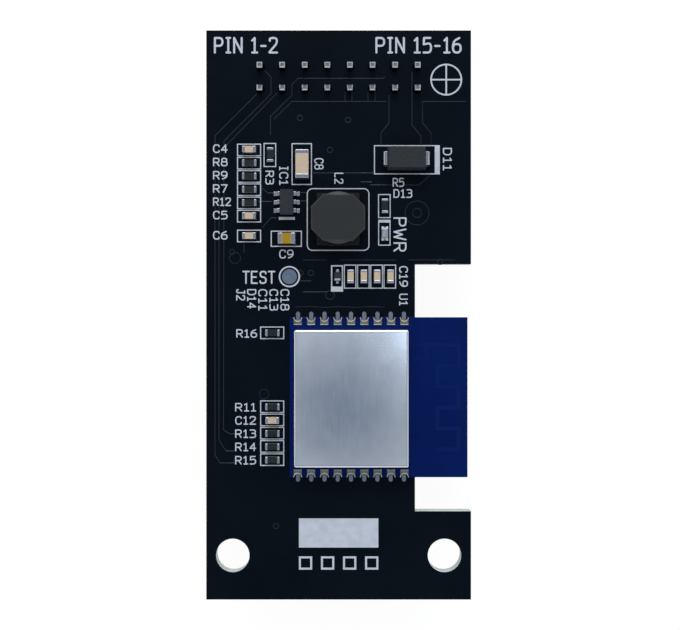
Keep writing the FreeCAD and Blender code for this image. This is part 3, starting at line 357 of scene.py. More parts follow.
def ferrite():
    """Nickel-zinc ferrite, pressed and fired: slate-black, fine grained, with a dull sheen at its edges."""
    finish = start_finish("fired_ferrite", {"IOR": 1.5, "Specular IOR Level": 0.65})
    tint(finish, "13161a", "181b1f", size=0.3, detail=5.0)
    roughen(finish, middle=0.38, spread=0.06, size=0.15)
    relief(finish, depth=0.004, size=0.06, detail=2.0)
    return finish.material


def enamelled_wire():
    """Copper magnet wire under clear enamel, drawn and wound: warm metal with a glossy skin."""
    finish = start_finish("enamelled_copper_wire", {
        "Metallic": 1.0, "Coat Weight": 0.6, "Coat Roughness": 0.12})
    tint(finish, "b0683a", "c67c4a", size=0.8)
    roughen(finish, middle=0.305, spread=0.055, size=0.3)
    relief(finish, depth=0.001, size=0.1, detail=2.0, stretch=(1.0, 1.0, 0.3))
    return finish.material


def white_laminate():
    """White glass-fibre laminate, punched and plated: chalky white with a trace of the cloth."""
    finish = start_finish("white_laminate", {"IOR": 1.5, "Specular IOR Level": 0.3})
    tint(finish, "c9c9bf", "dddcd3", size=0.1)
    roughen(finish, middle=0.56, spread=0.06, size=0.2)
    relief(finish, depth=0.002, size=0.08)
    return finish.material


def clear_resin():
    """Clear epoxy, cast over the lamp's chip: cloudy blue-grey with a wet gloss and a paler heart."""
    finish = start_finish("cast_clear_epoxy", {
        "IOR": 1.52, "Specular IOR Level": 0.5, "Subsurface Weight": 0.15, "Subsurface Scale": 0.2 * MM,
        "Coat Weight": 0.3, "Coat Roughness": 0.08})
    tint(finish, "8b99a8", "a3b0bd", size=0.4)
    roughen(finish, middle=0.21, spread=0.05, size=0.2)
    relief(finish, depth=0.001, size=0.2)
    return finish.material


# The finish of each of the record's material slots
FINISHES = {
    "solder_mask": black_mask(),
    "module_mask": blue_mask(),
    "printed_ink": screen_ink(),
    "tinned_copper": tinned_copper("immersion_tin_on_copper", "8c94a6", "999fb1"),
    "tinned_lead": plated_metal("matt_tin_plate", "b4b9c0", "c0c4cb", 0.24, 0.07),
    "tinned_pin": plated_metal("bright_tin_plate", "acb3bc", "b7bdc6", 0.2),
    "module_plating": gold_finish("immersion_gold_on_nickel", "868a79", "939783"),
    "shield_sheet": nickel_silver(),
    "chip_resin": moulded_resin("moulded_epoxy", "272b30", "2f343a", 0.6),
    "inductor_resin": moulded_resin("moulded_phenolic", "131518", "191b1e", 0.55),
    "housing_plastic": header_nylon(),
    "capacitor_ceramic": fired_ceramic("fired_beige_ceramic", "c6b39c", "d1bea7", 0.55),
    "ochre_ceramic": fired_ceramic("fired_ochre_ceramic", "9f8006", "aa8910", 0.5),
    "ceramic_tub": fired_ceramic("pressed_alumina", "b9b6ad", "c9c6bd", 0.6),
    "crystal_lid": plated_metal("gold_flashed_steel", "cfc39b", "ddd2ad", 0.28, 0.05),
    "resistor_ceramic": resistor_body(),
    "ferrite": ferrite(),
    "enamelled_copper": enamelled_wire(),
    "lamp_laminate": white_laminate(),
    "lamp_lens": clear_resin(),
}
# Nodes with a finish of their own: the lamp's ends carry solder, painted near white as a painted highlight;
# the test pad's tin is a darker copy of the lands' tin, as painted shade; and the antenna's copper shows
# through its mask.
OWN_FINISHES = {
    "antenna_trace": mask_on_copper("blue_mask_over_copper", "061e5b", "062160", 0.06),
    # Solder painted near white, brighter than the leads' tin: a painted highlight.
    "lamp_terminals": plated_metal("solder_painted_with_highlight", "eef0f0", "f9faf9", 0.55, 0.05),
    # The lands' tin painted darker for the test pad alone: painted shade.
    "test_pad": tinned_copper("tin_on_copper_painted_darker", "7a8b9f", "8696aa"),
}
# Finishes of pieces that are made here
MASK_OVER_COPPER = mask_on_copper("black_mask_over_copper", "0a1520", "0e1a26", 0.45)
# The lips' gold is painted near white: a painted highlight on the contacts' rims.
HOLE_RIM_HIGHLIGHT_GOLD = gold_finish("gold_rims_painted_highlight", "e6e4d6", "f2f0e4")
DIODE_MARK = laser_mark()
DIPPED_TIN = plated_metal("dipped_tin_ends", "b4b9c0", "c0c4cb", 0.26)

# The radius of the edges of the moulded, cut and plated parts: none is knife sharp.
EDGE_ROUNDING = {
    "chip_resin": 0.03,
    "capacitor_ceramic": 0.03,
    "ochre_ceramic": 0.03,
    "resistor_ceramic": 0.015,
    "inductor_resin": 0.05,
    "lamp_lens": 0.03,
    "crystal_lid": 0.03,
    "ceramic_tub": 0.03,
    "housing_plastic": 0.06,
}
EDGE_STEPS = 2
# An edge is rounded where the surface turns by more than this angle.
SHARP_ANGLE = math.radians(35)
WELD_DISTANCE = 0.0005


def dress_nodes():
    """Gives each node its slot's finish, and rounds the edges that a maker's process leaves round."""
    for part in frame["record"]["subparts"]:
        node = NODES[part["node"]]
        slot = part["material_slot"]
        node.data.materials.clear()
        node.data.materials.append(OWN_FINISHES.get(part["node"], FINISHES[slot]))
        if slot not in EDGE_ROUNDING:
            continue
        weld = node.modifiers.new("weld", "WELD")
        weld.merge_threshold = WELD_DISTANCE * MM
        bevel = node.modifiers.new("worn_edges", "BEVEL")
        bevel.width = EDGE_ROUNDING[slot] * MM
        bevel.segments = EDGE_STEPS
        bevel.limit_method = "ANGLE"
        bevel.angle_limit = SHARP_ANGLE
        bevel.harden_normals = True


# Mesh building

# Where outlines are joined, points nearer to each other than this are one point.
UNION_TOLERANCE = 0.0001
# The sides of a pen stroke's round end
STROKE_END_STEPS = 5


def new_piece(name, vertices, faces, slot, finish=None):
    """A mesh from millimetre vertices, riding on the board, with its slot's finish or its own."""
    mesh = bpy.data.meshes.new(name)
    mesh.from_pydata([Vector(v) * MM for v in vertices], [], faces)
    mesh.materials.append(finish or FINISHES[slot])
    piece = bpy.data.objects.new(name, mesh)
    bpy.context.scene.collection.objects.link(piece)
    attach(piece, "root")
    return piece


def add_part(whole, part):
    """Adds one part's vertices and faces to a mesh that has some already."""
    vertices, faces = whole
    more, their_faces = part
    faces += [[i + len(vertices) for i in face] for face in their_faces]
    vertices += more


def raise_plate(outlines, low, high):
    """The union of flat outlines as one plate between two heights: its vertices and faces."""
    points, loops = [], []
    for outline in outlines:
        loops.append(list(range(len(points), len(points) + len(outline))))
        points += [Vector(p) for p in outline]
    inside_only = 1
    flat, _, triangles, _, _, sources = delaunay_2d_cdt(points, [], loops, inside_only, UNION_TOLERANCE)
    count = len(flat)
    vertices = [(p.x, p.y, low) for p in flat] + [(p.x, p.y, high) for p in flat]
    faces = []
    sides = {}
    for triangle, source in zip(triangles, sources):
        if not source:
            continue
        a, b, c = (flat[i] for i in triangle)
        turn = (b - a).cross(c - a)
        ordered = list(triangle) if turn > 0 else list(reversed(triangle))
        faces.append([i + count for i in ordered])
        faces.append(list(reversed(ordered)))
        sides.update(dict.fromkeys(zip(ordered, ordered[1:] + ordered[:1])))
    for start, end in sides:
        if (end, start) not in sides:
            faces.append([start, end, end + count, start + count])
    return vertices, faces


def capsule(start, end, width):
    """The outline of a straight pen stroke with round ends."""
    angle = math.atan2(end[1] - start[1], end[0] - start[0])
    outline = []
    for centre, turn in ((end, angle - math.pi / 2), (start, angle + math.pi / 2)):
        for i in range(STROKE_END_STEPS + 1):
            a = turn + math.pi * i / STROKE_END_STEPS
            outline.append((centre[0] + width / 2 * math.cos(a), centre[1] + width / 2 * math.sin(a)))
    return outline


def pen_line(points, pen):
    """The pen strokes that draw a line through some points."""
    return [capsule(a, b, pen) for a, b in zip(points[:-1], points[1:])]


def ring(centre, radius, count):
    """The points of a closed circle."""
    points = []
    for i in range(count + 1):
        angle = math.tau * i / count
        points.append((centre[0] + radius * math.cos(angle), centre[1] + radius * math.sin(angle)))
    return points


# Letters

# Each softening of a line cuts its corners a quarter of the way along both their sides.
SOFTENINGS = 2
NEAR_SHARE = 0.75
FAR_SHARE = 0.25


def soft(*points):
    """A pen line that rounds its corners and keeps its ends."""
    line = list(points)
    for _ in range(SOFTENINGS):
        cut = [line[0]]
        for (x0, y0), (x1, y1) in zip(line[:-1], line[1:]):
            cut.append((NEAR_SHARE * x0 + FAR_SHARE * x1, NEAR_SHARE * y0 + FAR_SHARE * y1))
            cut.append((FAR_SHARE * x0 + NEAR_SHARE * x1, FAR_SHARE * y0 + NEAR_SHARE * y1))
        cut.append(line[-1])
        line = cut
    return line


# Pen lines of each letter, on a body 0.6 wide and 1 high, in the style of a plotter's alphabet
GLYPHS = {
    "1": [[(0.05, 0.82), (0.25, 1), (0.25, 0)], [(0.05, 0), (0.45, 0)]],
    "2": [
        soft((0.02, 0.8), (0.02, 1), (0.58, 1), (0.58, 0.62), (0.3, 0.34), (0, 0.05), (0, 0)),
        [(0, 0), (0.6, 0)]],
    "3": [
        soft((0.02, 1), (0.58, 1), (0.58, 0.55), (0.22, 0.55)),
        soft((0.22, 0.55), (0.6, 0.55), (0.6, 0), (0, 0))],
    "4": [[(0.45, 0), (0.45, 1), (0, 0.32), (0.6, 0.32)]],
    "5": [[(0.55, 1), (0.06, 1), (0.04, 0.56)], soft((0.04, 0.56), (0.6, 0.66), (0.6, 0), (0.02, 0))],
    "6": [soft((0.5, 1), (0, 0.75), (0, 0), (0.6, 0), (0.6, 0.58), (0.1, 0.58), (0.03, 0.4))],
    "7": [[(0, 1), (0.6, 1), (0.2, 0)]],
    "8": [
        soft((0.3, 0.54), (0.04, 0.54), (0.04, 1), (0.56, 1), (0.56, 0.54), (0.3, 0.54)),
        soft((0.3, 0.54), (0, 0.54), (0, 0), (0.6, 0), (0.6, 0.54), (0.3, 0.54))],
    "9": [soft((0.1, 0), (0.6, 0.25), (0.6, 1), (0, 1), (0, 0.42), (0.5, 0.42), (0.57, 0.6))],
    "C": [soft((0.6, 0.78), (0.58, 1), (0, 1), (0, 0), (0.58, 0), (0.6, 0.22))],
    "D": [[(0, 0), (0, 1)], soft((0, 1), (0.6, 1), (0.6, 0), (0, 0))],
    "E": [[(0.55, 1), (0, 1), (0, 0), (0.55, 0)], [(0, 0.52), (0.45, 0.52)]],
    "I": [[(0.2, 0), (0.2, 1)], [(0.05, 0), (0.35, 0)], [(0.05, 1), (0.35, 1)]],
    "J": [[(0.15, 1), (0.5, 1)], soft((0.4, 1), (0.4, 0.3), (0.4, 0), (0, 0), (0, 0.2))],
    "L": [[(0, 1), (0, 0), (0.55, 0)]],
    "N": [[(0, 0), (0, 1), (0.6, 0), (0.6, 1)]],
    "P": [[(0, 0), (0, 1)], soft((0, 1), (0.6, 1), (0.6, 0.46), (0, 0.46))],
    "R": [[(0, 0), (0, 1)], soft((0, 1), (0.6, 1), (0.6, 0.46), (0, 0.46)), [(0.32, 0.46), (0.6, 0)]],
    "S": [
        soft((0.57, 0.82), (0.55, 1), (0.02, 1), (0.02, 0.54), (0.58, 0.5), (0.58, 0), (0.02, 0), (0, 0.18))],
    "T": [[(0, 1), (0.6, 1)], [(0.3, 1), (0.3, 0)]],
    "U": [soft((0, 1), (0, 0.4), (0, 0), (0.6, 0), (0.6, 0.4), (0.6, 1))],
    "W": [[(0, 1), (0.2, 0), (0.4, 0.7), (0.6, 0), (0.8, 1)]],
    "-": [[(0.05, 0.45), (0.4, 0.45)]],
    " ": [],
}
# The width of most letters, those of the others, and the gap between two
LETTER_WIDTH = 0.6
OTHER_WIDTHS = {"1": 0.45, "I": 0.4, "J": 0.5, "W": 0.8, "-": 0.45, " ": 0.25}
LETTER_GAP = 0.27

# The widths of the pen
LABEL_PEN = 0.133
SIGN_PEN = 0.172
TITLE_PEN = 0.228


def letters(text, low, high, turned, pen):
    """The pen strokes of a printed word between two corners, upright or turned a quarter to the right."""
    across, up = (1, 0) if turned else (0, 1)
    run = abs(high[across] - low[across]) - pen
    rise = abs(high[up] - low[up]) - pen
    widths = [OTHER_WIDTHS.get(c, LETTER_WIDTH) for c in text]
    natural = sum(widths) + LETTER_GAP * (len(text) - 1)
    outlines = []
    start = 0.0
    for character, width in zip(text, widths):
        strokes = []
        for line in GLYPHS[character]:
            placed = []
            for gx, gy in line:
                along = (start + gx) * run / natural + pen / 2
                above = gy * rise + pen / 2
                if turned:
                    placed.append((low[0] + above, high[1] - along))
                else:
                    placed.append((low[0] + along, low[1] + above))
            strokes += pen_line(placed, pen)
        if strokes:
            outlines.append(strokes)
        start += width + LETTER_GAP
    return outlines


# Printed words: plain designators of this board's own. Each has the corners of its place in pixels of
# the photograph.
TITLES = [("PIN 1-2", (213.5, 36.6), (278.5, 54)), ("PIN 15-16", (375, 36.6), (462, 54))]
UPRIGHT_LABELS = [
    ("C4", (212.6, 144), (228, 153.4)),
    ("R8", (212.6, 157.4), (228, 166.8)),
    ("R9", (212.6, 170.6), (228, 180)),
    ("R7", (212.6, 183.9), (228, 193.3)),
    ("R12", (212.6, 197.1), (231.5, 206.5)),
    ("C5", (212.6, 210.4), (228, 219.8)),
    ("C6", (212.6, 230.6), (228, 240)),
    ("C9", (278.8, 249.2), (294, 258.9)),
    ("R16", (235.9, 328.8), (257.5, 338.1)),
    ("R11", (234.8, 402.5), (256.5, 411.9)),
    ("C12", (234.8, 415.7), (256.5, 425.1)),
    ("R13", (234.8, 429), (256.5, 438.4)),
    ("R14", (234.8, 442.2), (256.5, 451.6)),
    ("R15", (234.8, 455.5), (256.5, 464.9)),
    ("R5", (392.2, 177.5), (404.6, 187.3)),
    ("D13", (393, 188.8), (412.7, 198.3)),
]
TURNED_LABELS = [
    ("R3", (265, 170.3), (274.4, 185)),
    ("IC1", (278.8, 165.6), (288.8, 185.6)),
    ("C8", (313.9, 157.7), (324, 170)),
    ("L2", (333.9, 172.3), (343.8, 184.3)),
    ("D11", (442.5, 147.5), (452.3, 171)),
    ("J2", (235.8, 288.7), (245.6, 301)),
    ("D14", (246.7, 288.7), (256.7, 309)),
    ("C11", (257.9, 288.7), (267.7, 311)),
    ("C13", (269, 288.7), (278.6, 311)),
    ("C18", (280, 288.7), (289.8, 311)),
    ("C19", (398.7, 265.7), (408.3, 287.3)),
    ("U1", (398.7, 293.3), (408.3, 306)),
]
TEST_LABEL = ("TEST", (241.9, 270.4), (275.8, 284.3))
LAMP_LABEL = ("PWR", (392.9, 216.9), (406.9, 252))
# The photograph's blur widens a word by this many pixels on each side.
BLUR = 0.4

# The target by the header, with its centre in pixels of the photograph, and the ring round the test pad
TARGET_PIXEL = (446.2, 79.7)
TARGET_RADIUS = 1.72
TEST_RING_RADIUS = 1.12
PRINTED_RING_POINTS = 40


def place_word(word, turned=False, pen=LABEL_PEN):
    """The pen strokes of a word whose blurred outline in the photograph has these corners."""
    text, corner, other = word
    left, top = on_board((corner[0] + BLUR, corner[1] + BLUR))
    right, bottom = on_board((other[0] - BLUR, other[1] - BLUR))
    return letters(text, (left, bottom), (right, top), turned, pen)


def printed_words():
    """All the printed letters, the ring round the test pad and the target, as one layer of ink."""
    groups = []
    for word in TITLES:
        groups += place_word(word, pen=TITLE_PEN)
    for word in UPRIGHT_LABELS:
        groups += place_word(word)
    for word in TURNED_LABELS:
        groups += place_word(word, turned=True)
    groups += place_word(TEST_LABEL, pen=SIGN_PEN)
    groups += place_word(LAMP_LABEL, turned=True, pen=SIGN_PEN)
    pad = ((PAD_LOW.x + PAD_HIGH.x) / 2, (PAD_LOW.y + PAD_HIGH.y) / 2)
    groups.append(pen_line(ring(pad, TEST_RING_RADIUS, PRINTED_RING_POINTS), SIGN_PEN))
    x, y = on_board(TARGET_PIXEL)
    groups.append(
        pen_line(ring((x, y), TARGET_RADIUS, PRINTED_RING_POINTS), SIGN_PEN)
        + pen_line([(x - TARGET_RADIUS, y), (x + TARGET_RADIUS, y)], SIGN_PEN)
        + pen_line([(x, y - TARGET_RADIUS), (x, y + TARGET_RADIUS)], SIGN_PEN))
    ink = ([], [])
    for outlines in groups:
        add_part(ink, raise_plate(outlines, TOP, INK_TOP))
    new_piece("printed_words", *ink, "printed_ink")


# Copper under the mask: tracks are low ridges with sloping sides.
TRACK_WIDTH = 0.08
TRACK_HEIGHT = 0.014
TRACK_SLOPE = 0.032
# The mask lies thicker over the pours' edges, the rings and the vias, so they stand out less.
FAINT_HEIGHT = 0.005
VIA_RADIUS = 0.3
RING_POINTS = 28
VIA_POINTS = 20

# Runs of copper, as corner points in pixels of the photograph
TRACKS = [
    [(257, 94), (215, 136), (215, 455), (220, 463), (236, 463)],
    [(277, 93), (222, 150), (219, 157), (219, 440), (226, 451), (236, 451)],
    [(265, 71), (271, 77), (271, 94), (224, 141), (223.5, 430), (230, 434), (236, 434)],
    [(385, 77), (383, 78.4), (298, 78.4), (292, 84.4), (292, 95), (270.5, 116.5), (270.5, 135)],
    [(389, 95), (389, 123), (381, 133), (381, 144)],
    [(412, 72), (412, 125), (421, 136), (421, 144)],
    [(313, 173), (373, 173)],
    [(360, 182), (372, 182)],
    [(370, 185), (419, 185), (430, 175)],
    [(258, 201.5), (272, 201.5)],
    [(262, 188), (268, 193), (274, 193)],
    [(262, 228), (271, 218), (277, 218)],
    [(300, 201), (308, 201)],
    [(300, 192.5), (308, 192.5)],
    [(300, 281), (311, 281)],
    [(303, 292), (328, 292)],
    [(244, 243), (244, 253)],
]
POUR_EDGES = [
    [(274, 119), (292, 101.5), (386, 101.5)],
    [(466, 101.5), (422.5, 101.5), (422.5, 123), (431, 133), (431, 144)],
    [(303, 260), (327, 260)],
    [(340, 260), (396, 260)],
    [(408, 260), (455, 260)],
    [(295, 307), (310, 306.4), (325, 307.4), (340, 306.6), (355, 307.4), (370, 306.6), (385, 307.2)],
    [(345, 92), (345, 101.5)],
    [(352, 92), (352, 101.5)],
    [(368, 92), (368, 101.5)],
    [(375, 92), (375, 101.5)],
]
# Each ring has its centre in pixels and its radius in millimetres.
VIA_RINGS = [
    ((417, 213), 0.52), ((417, 213), 1.36), ((330, 295), 0.5), ((235, 258), 0.62), ((264, 394), 0.55)]
PLAIN_VIAS = [
    (300.5, 273), (311, 273), (232, 252), (276, 526), (300, 118), (348, 120), (330, 150), (440, 262)]


def ridge(points, width, height, slope, closed=False, base=TOP):
    """A low ridge along a line, on a level, with sloping sides: its vertices and faces."""
    line = [Vector(p) for p in points]
    if closed:
        line = line[:-1]
    count = len(line)
    rows = []
    for i, point in enumerate(line):
        before = line[i - 1] if i or closed else None
        after = line[(i + 1) % count] if i + 1 < count or closed else None
        into = (point - before).normalized() if before is not None else None
        out = (after - point).normalized() if after is not None else None
        into = into or out
        out = out or into
        mitre = Vector((-into.y, into.x)) + Vector((-out.y, out.x))
        rows.append((point, mitre * (2 / mitre.dot(mitre))))
    vertices, faces = [], []
    foot, crest = width / 2, width / 2 - slope
    top = base + height
    for point, mitre in rows:
        for reach, z in ((foot, base), (crest, top), (-crest, top), (-foot, base)):
            vertices.append((point.x + mitre.x * reach, point.y + mitre.y * reach, z))
    sides = 4
    spans = count if closed else count - 1
    for i in range(spans):
        a, b = i * sides, (i + 1) % count * sides
        for k in range(sides):
            following = (k + 1) % sides
            faces.append([a + k, a + following, b + following, b + k])
    if not closed:
        last = (count - 1) * sides
        faces.append([3, 2, 1, 0])
        faces.append([last, last + 1, last + 2, last + 3])
    return vertices, faces


def copper_relief():
    """The tracks, pour edges and vias that show through the mask, as one skin of mask over them."""
    runs = [([on_board(p) for p in line], False, TRACK_HEIGHT) for line in TRACKS]
    runs += [([on_board(p) for p in line], False, FAINT_HEIGHT) for line in POUR_EDGES]
    runs += [(ring(on_board(p), radius, RING_POINTS), True, FAINT_HEIGHT) for p, radius in VIA_RINGS]
    runs += [(ring(on_board(p), VIA_RADIUS, VIA_POINTS), True, FAINT_HEIGHT) for p in PLAIN_VIAS]
    skin = ([], [])
    for points, closed, height in runs:
        add_part(skin, ridge(points, TRACK_WIDTH, height, TRACK_SLOPE, closed))
    new_piece("copper_under_mask", *skin, "solder_mask", MASK_OVER_COPPER)


# The metal ends of the chip parts: the node, the chips that wear them, the band's reach along the chip
# and the roundness of the dipped metal
SMALL_CAPACITORS = 8
SMALL_RESISTORS = 11
END_CAPS = [
    ("chip_capacitor_ends", ["chip_capacitor_%d" % (i + 1) for i in range(SMALL_CAPACITORS)], 0.38, 0.11),
    ("chip_resistor_ends", ["chip_resistor_%d" % (i + 1) for i in range(SMALL_RESISTORS)], 0.3, 0.09),
    ("input_capacitor_ends", ["input_capacitor"], 0.5, 0.11),
    ("output_capacitor_ends", ["output_capacitor"], 0.55, 0.11),
]
CAP_STEPS = 3
# The sides of a box whose corners are counted along x, then y, then z
BOX_FACES = [(0, 2, 3, 1), (4, 5, 7, 6), (0, 1, 5, 4), (2, 6, 7, 3), (0, 4, 6, 2), (1, 3, 7, 5)]


def end_caps(node, chips, band, roundness):
    """The dipped and plated ends of one kind of chip: caps whose edges are all drawn round by the metal."""
    ends_low, ends_high = node_box(node)
    caps = ([], [])
    for chip in chips:
        low, high = node_box(chip)
        plating = low.z - ends_low.z
        start = Vector((low.x - plating, low.y - plating, ends_low.z))
        end = Vector((high.x + plating, high.y + plating, ends_high.z))
        along = 0 if end.x - start.x > end.y - start.y else 1
        for at_end in (False, True):
            near, far = start.copy(), end.copy()
            if at_end:
                near[along] = far[along] - band
            else:
                far[along] = near[along] + band
            corners = [(x, y, z) for z in (near.z, far.z) for y in (near.y, far.y) for x in (near.x, far.x)]
            add_part(caps, (corners, BOX_FACES))
    piece = new_piece(node + "_dipped", *caps, "tinned_lead", DIPPED_TIN)
    for polygon in piece.data.polygons:
        polygon.use_smooth = True
    bevel = piece.modifiers.new("drawn_round", "BEVEL")
    bevel.width = roundness * MM
    bevel.segments = CAP_STEPS
    bevel.limit_method = "NONE"
    bevel.harden_normals = True
    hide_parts(node)


# The marked band at the small diode's cathode
BAND_FROM_MIDDLE = 0.34
BAND_WIDTH = 0.22
BAND_THICKNESS = 0.01
BAND_MARGIN = 0.07


def cathode_band():
    """The laser-marked band across the small diode's top."""
    middle = (SMALL_DIODE_LOW.y + SMALL_DIODE_HIGH.y) / 2 - BAND_FROM_MIDDLE
    left, right = SMALL_DIODE_LOW.x + BAND_MARGIN, SMALL_DIODE_HIGH.x - BAND_MARGIN
    low, high = middle - BAND_WIDTH / 2, middle + BAND_WIDTH / 2
    outline = [(left, low), (right, low), (right, high), (left, high)]
    band = raise_plate([outline], SMALL_DIODE_HIGH.z, SMALL_DIODE_HIGH.z + BAND_THICKNESS)
    new_piece("cathode_band", *band, "printed_ink", DIODE_MARK)


# The module's contacts, and the half hole in each one's outer end
CONTACT_PITCH = 1.5
CONTACT_COUNT = 9
CONTACT_WIDTH = 0.9
CONTACT_DEPTH = 0.85
HALF_HOLE_RADIUS = 0.4
HOLE_RIM = 0.11
HOLE_RIM_RISE = 0.042
INNER_LIP = 0.06
INNER_LIP_RISE = 0.016
# Each side of a lip slopes over this share of its width.
RIM_SLOPE = 0.4
RIM_STEPS = 12


def contact_rims():
    """The plating's thick lip round each half hole, and along the contact's inner end, in near-white gold
    that is a painted highlight.
    """
    middle = (CONTACTS_LOW.x + CONTACTS_HIGH.x) / 2
    top = CONTACTS_HIGH.z
    reach = HALF_HOLE_RADIUS + HOLE_RIM / 2
    half = CONTACT_WIDTH / 2
    lips = ([], [])
    for edge_y, inward in ((CONTACTS_LOW.y, 1), (CONTACTS_HIGH.y, -1)):
        inner = edge_y + inward * (CONTACT_DEPTH - INNER_LIP / 2)
        for i in range(CONTACT_COUNT):
            x = middle + (i - (CONTACT_COUNT - 1) / 2) * CONTACT_PITCH
            arc = []
            for k in range(RIM_STEPS + 1):
                angle = math.pi * k / RIM_STEPS
                arc.append((x + reach * math.cos(angle), edge_y + inward * reach * math.sin(angle)))
            add_part(lips, ridge(arc, HOLE_RIM, HOLE_RIM_RISE, HOLE_RIM * RIM_SLOPE, base=top))
            lip = [(x - half, inner), (x + half, inner)]
            add_part(lips, ridge(lip, INNER_LIP, INNER_LIP_RISE, INNER_LIP * RIM_SLOPE, base=top))
    new_piece("contact_rims", *lips, "module_plating", HOLE_RIM_HIGHLIGHT_GOLD)


# The inductor's wire
WIRE_DIAMETER = 0.36
WIRE_TURNS = 3
WIRE_LAYERS = 3
POINTS_PER_TURN = 28
WIRE_ROUND_STEPS = 3


def inductor_wire():
    """Turns of round wire on the drum, in layers."""
    centre = (WINDING_LOW + WINDING_HIGH) / 2
    radius = (WINDING_HIGH.x - WINDING_LOW.x - WIRE_DIAMETER) / 2
    start_z = WINDING_LOW.z + WIRE_DIAMETER / 2
    climb = WINDING_HIGH.z - WINDING_LOW.z - WIRE_DIAMETER
    data = bpy.data.curves.new("inductor_wire", "CURVE")
    data.dimensions = "3D"
    data.bevel_depth = WIRE_DIAMETER / 2 * MM
    data.bevel_resolution = WIRE_ROUND_STEPS
    data.use_fill_caps = True
    data.materials.append(FINISHES["enamelled_copper"])
    count = WIRE_TURNS * POINTS_PER_TURN
    for layer in range(WIRE_LAYERS):
        around = radius - layer * WIRE_DIAMETER
        spline = data.splines.new("POLY")
        spline.points.add(count)
        for i in range(count + 1):
            angle = math.tau * i / POINTS_PER_TURN - math.pi / 2
            x = centre.x + around * math.cos(angle)
            y = centre.y + around * math.sin(angle)
            z = start_z + climb * i / count
            spline.points[i].co = (x * MM, y * MM, z * MM, 1)
    piece = bpy.data.objects.new("inductor_wire", data)
    bpy.context.scene.collection.objects.link(piece)
    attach(piece, "root")
    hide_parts("inductor_winding")


# Studio

FLOOR_SIZE = 6000.0
FLOOR_CLEARANCE = 0.02
FLOOR_COLOUR = "f4f4f4"
# The floor that the camera sees glows white but for this share, which the lamps and the room light, so the
# board's shadow stays on it. They light it to about 0.6 of white.
SHADOW_SHARE = 0.14
FLOOR_LIGHT = 0.6
WHITE = [1.0] * 4


def floor():
    """A white studio floor under the pins. It is its own light to the camera and to reflections, so the
    background is white with no more light on the board, and its matt part takes the shadow."""
    material = bpy.data.materials.new("studio_floor")
    material.use_nodes = True
    tree = material.node_tree
    tree.nodes.clear()
    path = add_node(tree, "LightPath")
    seen = path.outputs["Is Camera Ray"]
    for ray in ("Is Glossy Ray", "Is Transmission Ray"):
        seen = add_node(tree, "Math", {0: seen, 1: path.outputs[ray]}, operation="MAXIMUM").outputs[0]
    matt = add_node(tree, "BsdfDiffuse", {"Color": linear(FLOOR_COLOUR)})
    faint = add_node(tree, "BsdfDiffuse", {"Color": [SHADOW_SHARE] * 3 + [1.0]})
    glow = add_node(tree, "Emission", {"Color": WHITE, "Strength": 1.0 - SHADOW_SHARE * FLOOR_LIGHT})
    bright = add_node(tree, "AddShader", {0: faint.outputs[0], 1: glow.outputs[0]})
    mix = add_node(tree, "MixShader", {"Fac": seen, 1: matt.outputs[0], 2: bright.outputs[0]})
    add_node(tree, "OutputMaterial", {"Surface": mix.outputs[0]})
    mesh = bpy.data.meshes.new("studio_floor")
    half = FLOOR_SIZE / 2 * MM
    z = PINS_LOW.z * MM - FLOOR_CLEARANCE * MM
    corners = [(-half, -half, z), (half, -half, z), (half, half, z), (-half, half, z)]
    mesh.from_pydata(corners, [], [(0, 1, 2, 3)])
    mesh.materials.append(material)
    plane = bpy.data.objects.new("studio_floor", mesh)
    bpy.context.scene.collection.objects.link(plane)


# The camera looks straight down, as the photograph does.
CAMERA_AIM = (0.155, 27.25, 1.6)
CAMERA_HEIGHT = 122.0
CAMERA_LENS = 56.99
CAMERA_SENSOR = 36.0
NEAREST_SEEN = 1.0
FARTHEST_SEEN = 10000.0

# The room's strength at its front, at its back, and beside the board as a share of those
FRONT_STRENGTH = 1.04
BACK_STRENGTH = 1.76
SIDE_STRENGTH = 0.44
# The room is dimmest in this direction, and these are its colours at distances from it on a unit sphere.
DIM_DIRECTION = (0.004, -0.086, 1.0)
ROOM_COLOURS = [
    (0.0, "3c5c75"), (0.025, "526173"), (0.05, "717782"), (0.07, "a6abb5"), (0.09, "adb5c2"),
    (0.13, "a7b0bc"), (0.17, "7f858c"), (0.25, "6a7077"), (0.42, "6a7077"), (0.8, "fafbfc")]
# Name, place and diameter in millimetres, power in watts, colour
LAMPS = [
    ("overhead_lamp", (76.0, 27.0, 600.0), 60.0, 0.0245, "d4ebff"),
    ("back_lamp", (0.0, 300.0, 275.0), 140.0, 0.3, "fbfcff"),
]


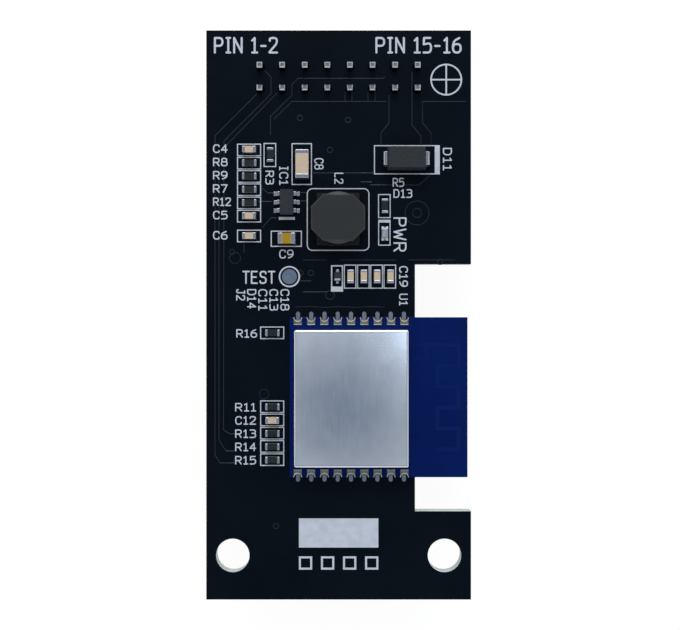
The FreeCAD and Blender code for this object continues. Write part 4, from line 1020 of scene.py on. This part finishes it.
def studio_light():
    """A pale room, dimmer and colder overhead than at its walls, and two soft lamps. Straight to the
    camera it is plain white."""
    world = bpy.data.worlds.new("studio")
    bpy.context.scene.world = world
    world.use_nodes = True
    tree = world.node_tree
    tree.nodes.clear()
    direction = add_node(tree, "TexCoord").outputs["Generated"]
    apart = add_node(tree, "SeparateXYZ", {"Vector": direction})
    from_dim = add_node(tree, "VectorMath", {
        0: direction, 1: Vector(DIM_DIRECTION).normalized()}, operation="DISTANCE")
    ramp = add_node(tree, "ValToRGB", {"Fac": from_dim.outputs["Value"]})
    first, last = ramp.color_ramp.elements
    first.color = linear(ROOM_COLOURS[0][1])
    last.color = linear(ROOM_COLOURS[-1][1])
    last.position = ROOM_COLOURS[-1][0]
    for position, colour in ROOM_COLOURS[1:-1]:
        ramp.color_ramp.elements.new(position).color = linear(colour)
    strength = add_node(tree, "MapRange", {
        "Value": apart.outputs["Y"], "From Min": -1.0, "From Max": 1.0,
        "To Min": FRONT_STRENGTH, "To Max": BACK_STRENGTH})
    aside = add_node(tree, "Math", {0: apart.outputs["X"]}, operation="ABSOLUTE")
    by_side = add_node(tree, "MapRange", {
        "Value": aside.outputs[0], "From Min": 0.0, "From Max": 1.0, "To Min": 1.0, "To Max": SIDE_STRENGTH})
    walls = add_node(tree, "Math", {
        0: strength.outputs["Result"], 1: by_side.outputs["Result"]}, operation="MULTIPLY")
    background = add_node(tree, "Background", {
        "Color": ramp.outputs["Color"], "Strength": walls.outputs[0]})
    plain = add_node(tree, "Background", {"Color": WHITE, "Strength": 1.0})
    seen = add_node(tree, "LightPath").outputs["Is Camera Ray"]
    mix = add_node(tree, "MixShader", {"Fac": seen, 1: background.outputs[0], 2: plain.outputs[0]})
    add_node(tree, "OutputWorld", {"Surface": mix.outputs[0]})
    for name, place, size, power, colour in LAMPS:
        data = bpy.data.lights.new(name, "AREA")
        data.shape = "DISK"
        data.size = size * MM
        data.energy = power
        data.color = linear(colour)[:3]
        lamp = bpy.data.objects.new(name, data)
        bpy.context.scene.collection.objects.link(lamp)
        lamp.location = Vector(place) * MM
        aim = Vector(CAMERA_AIM) * MM - lamp.location
        lamp.rotation_mode = "QUATERNION"
        lamp.rotation_quaternion = aim.to_track_quat("-Z", "Y")


def camera():
    """The camera, straight above the middle of the board."""
    data = bpy.data.cameras.new("camera")
    data.lens = CAMERA_LENS
    data.sensor_width = CAMERA_SENSOR
    data.clip_start = NEAREST_SEEN * MM
    data.clip_end = FARTHEST_SEEN * MM
    view = bpy.data.objects.new("camera", data)
    bpy.context.scene.collection.objects.link(view)
    x, y, z = CAMERA_AIM
    view.location = (x * MM, y * MM, (z + CAMERA_HEIGHT) * MM)
    bpy.context.scene.camera = view


def main():
    """Dresses the board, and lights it."""
    dress_nodes()
    printed_words()
    copper_relief()
    for kind in END_CAPS:
        end_caps(*kind)
    cathode_band()
    contact_rims()
    inductor_wire()
    floor()
    studio_light()
    camera()
    bpy.context.scene.view_settings.view_transform = "Standard"


main()
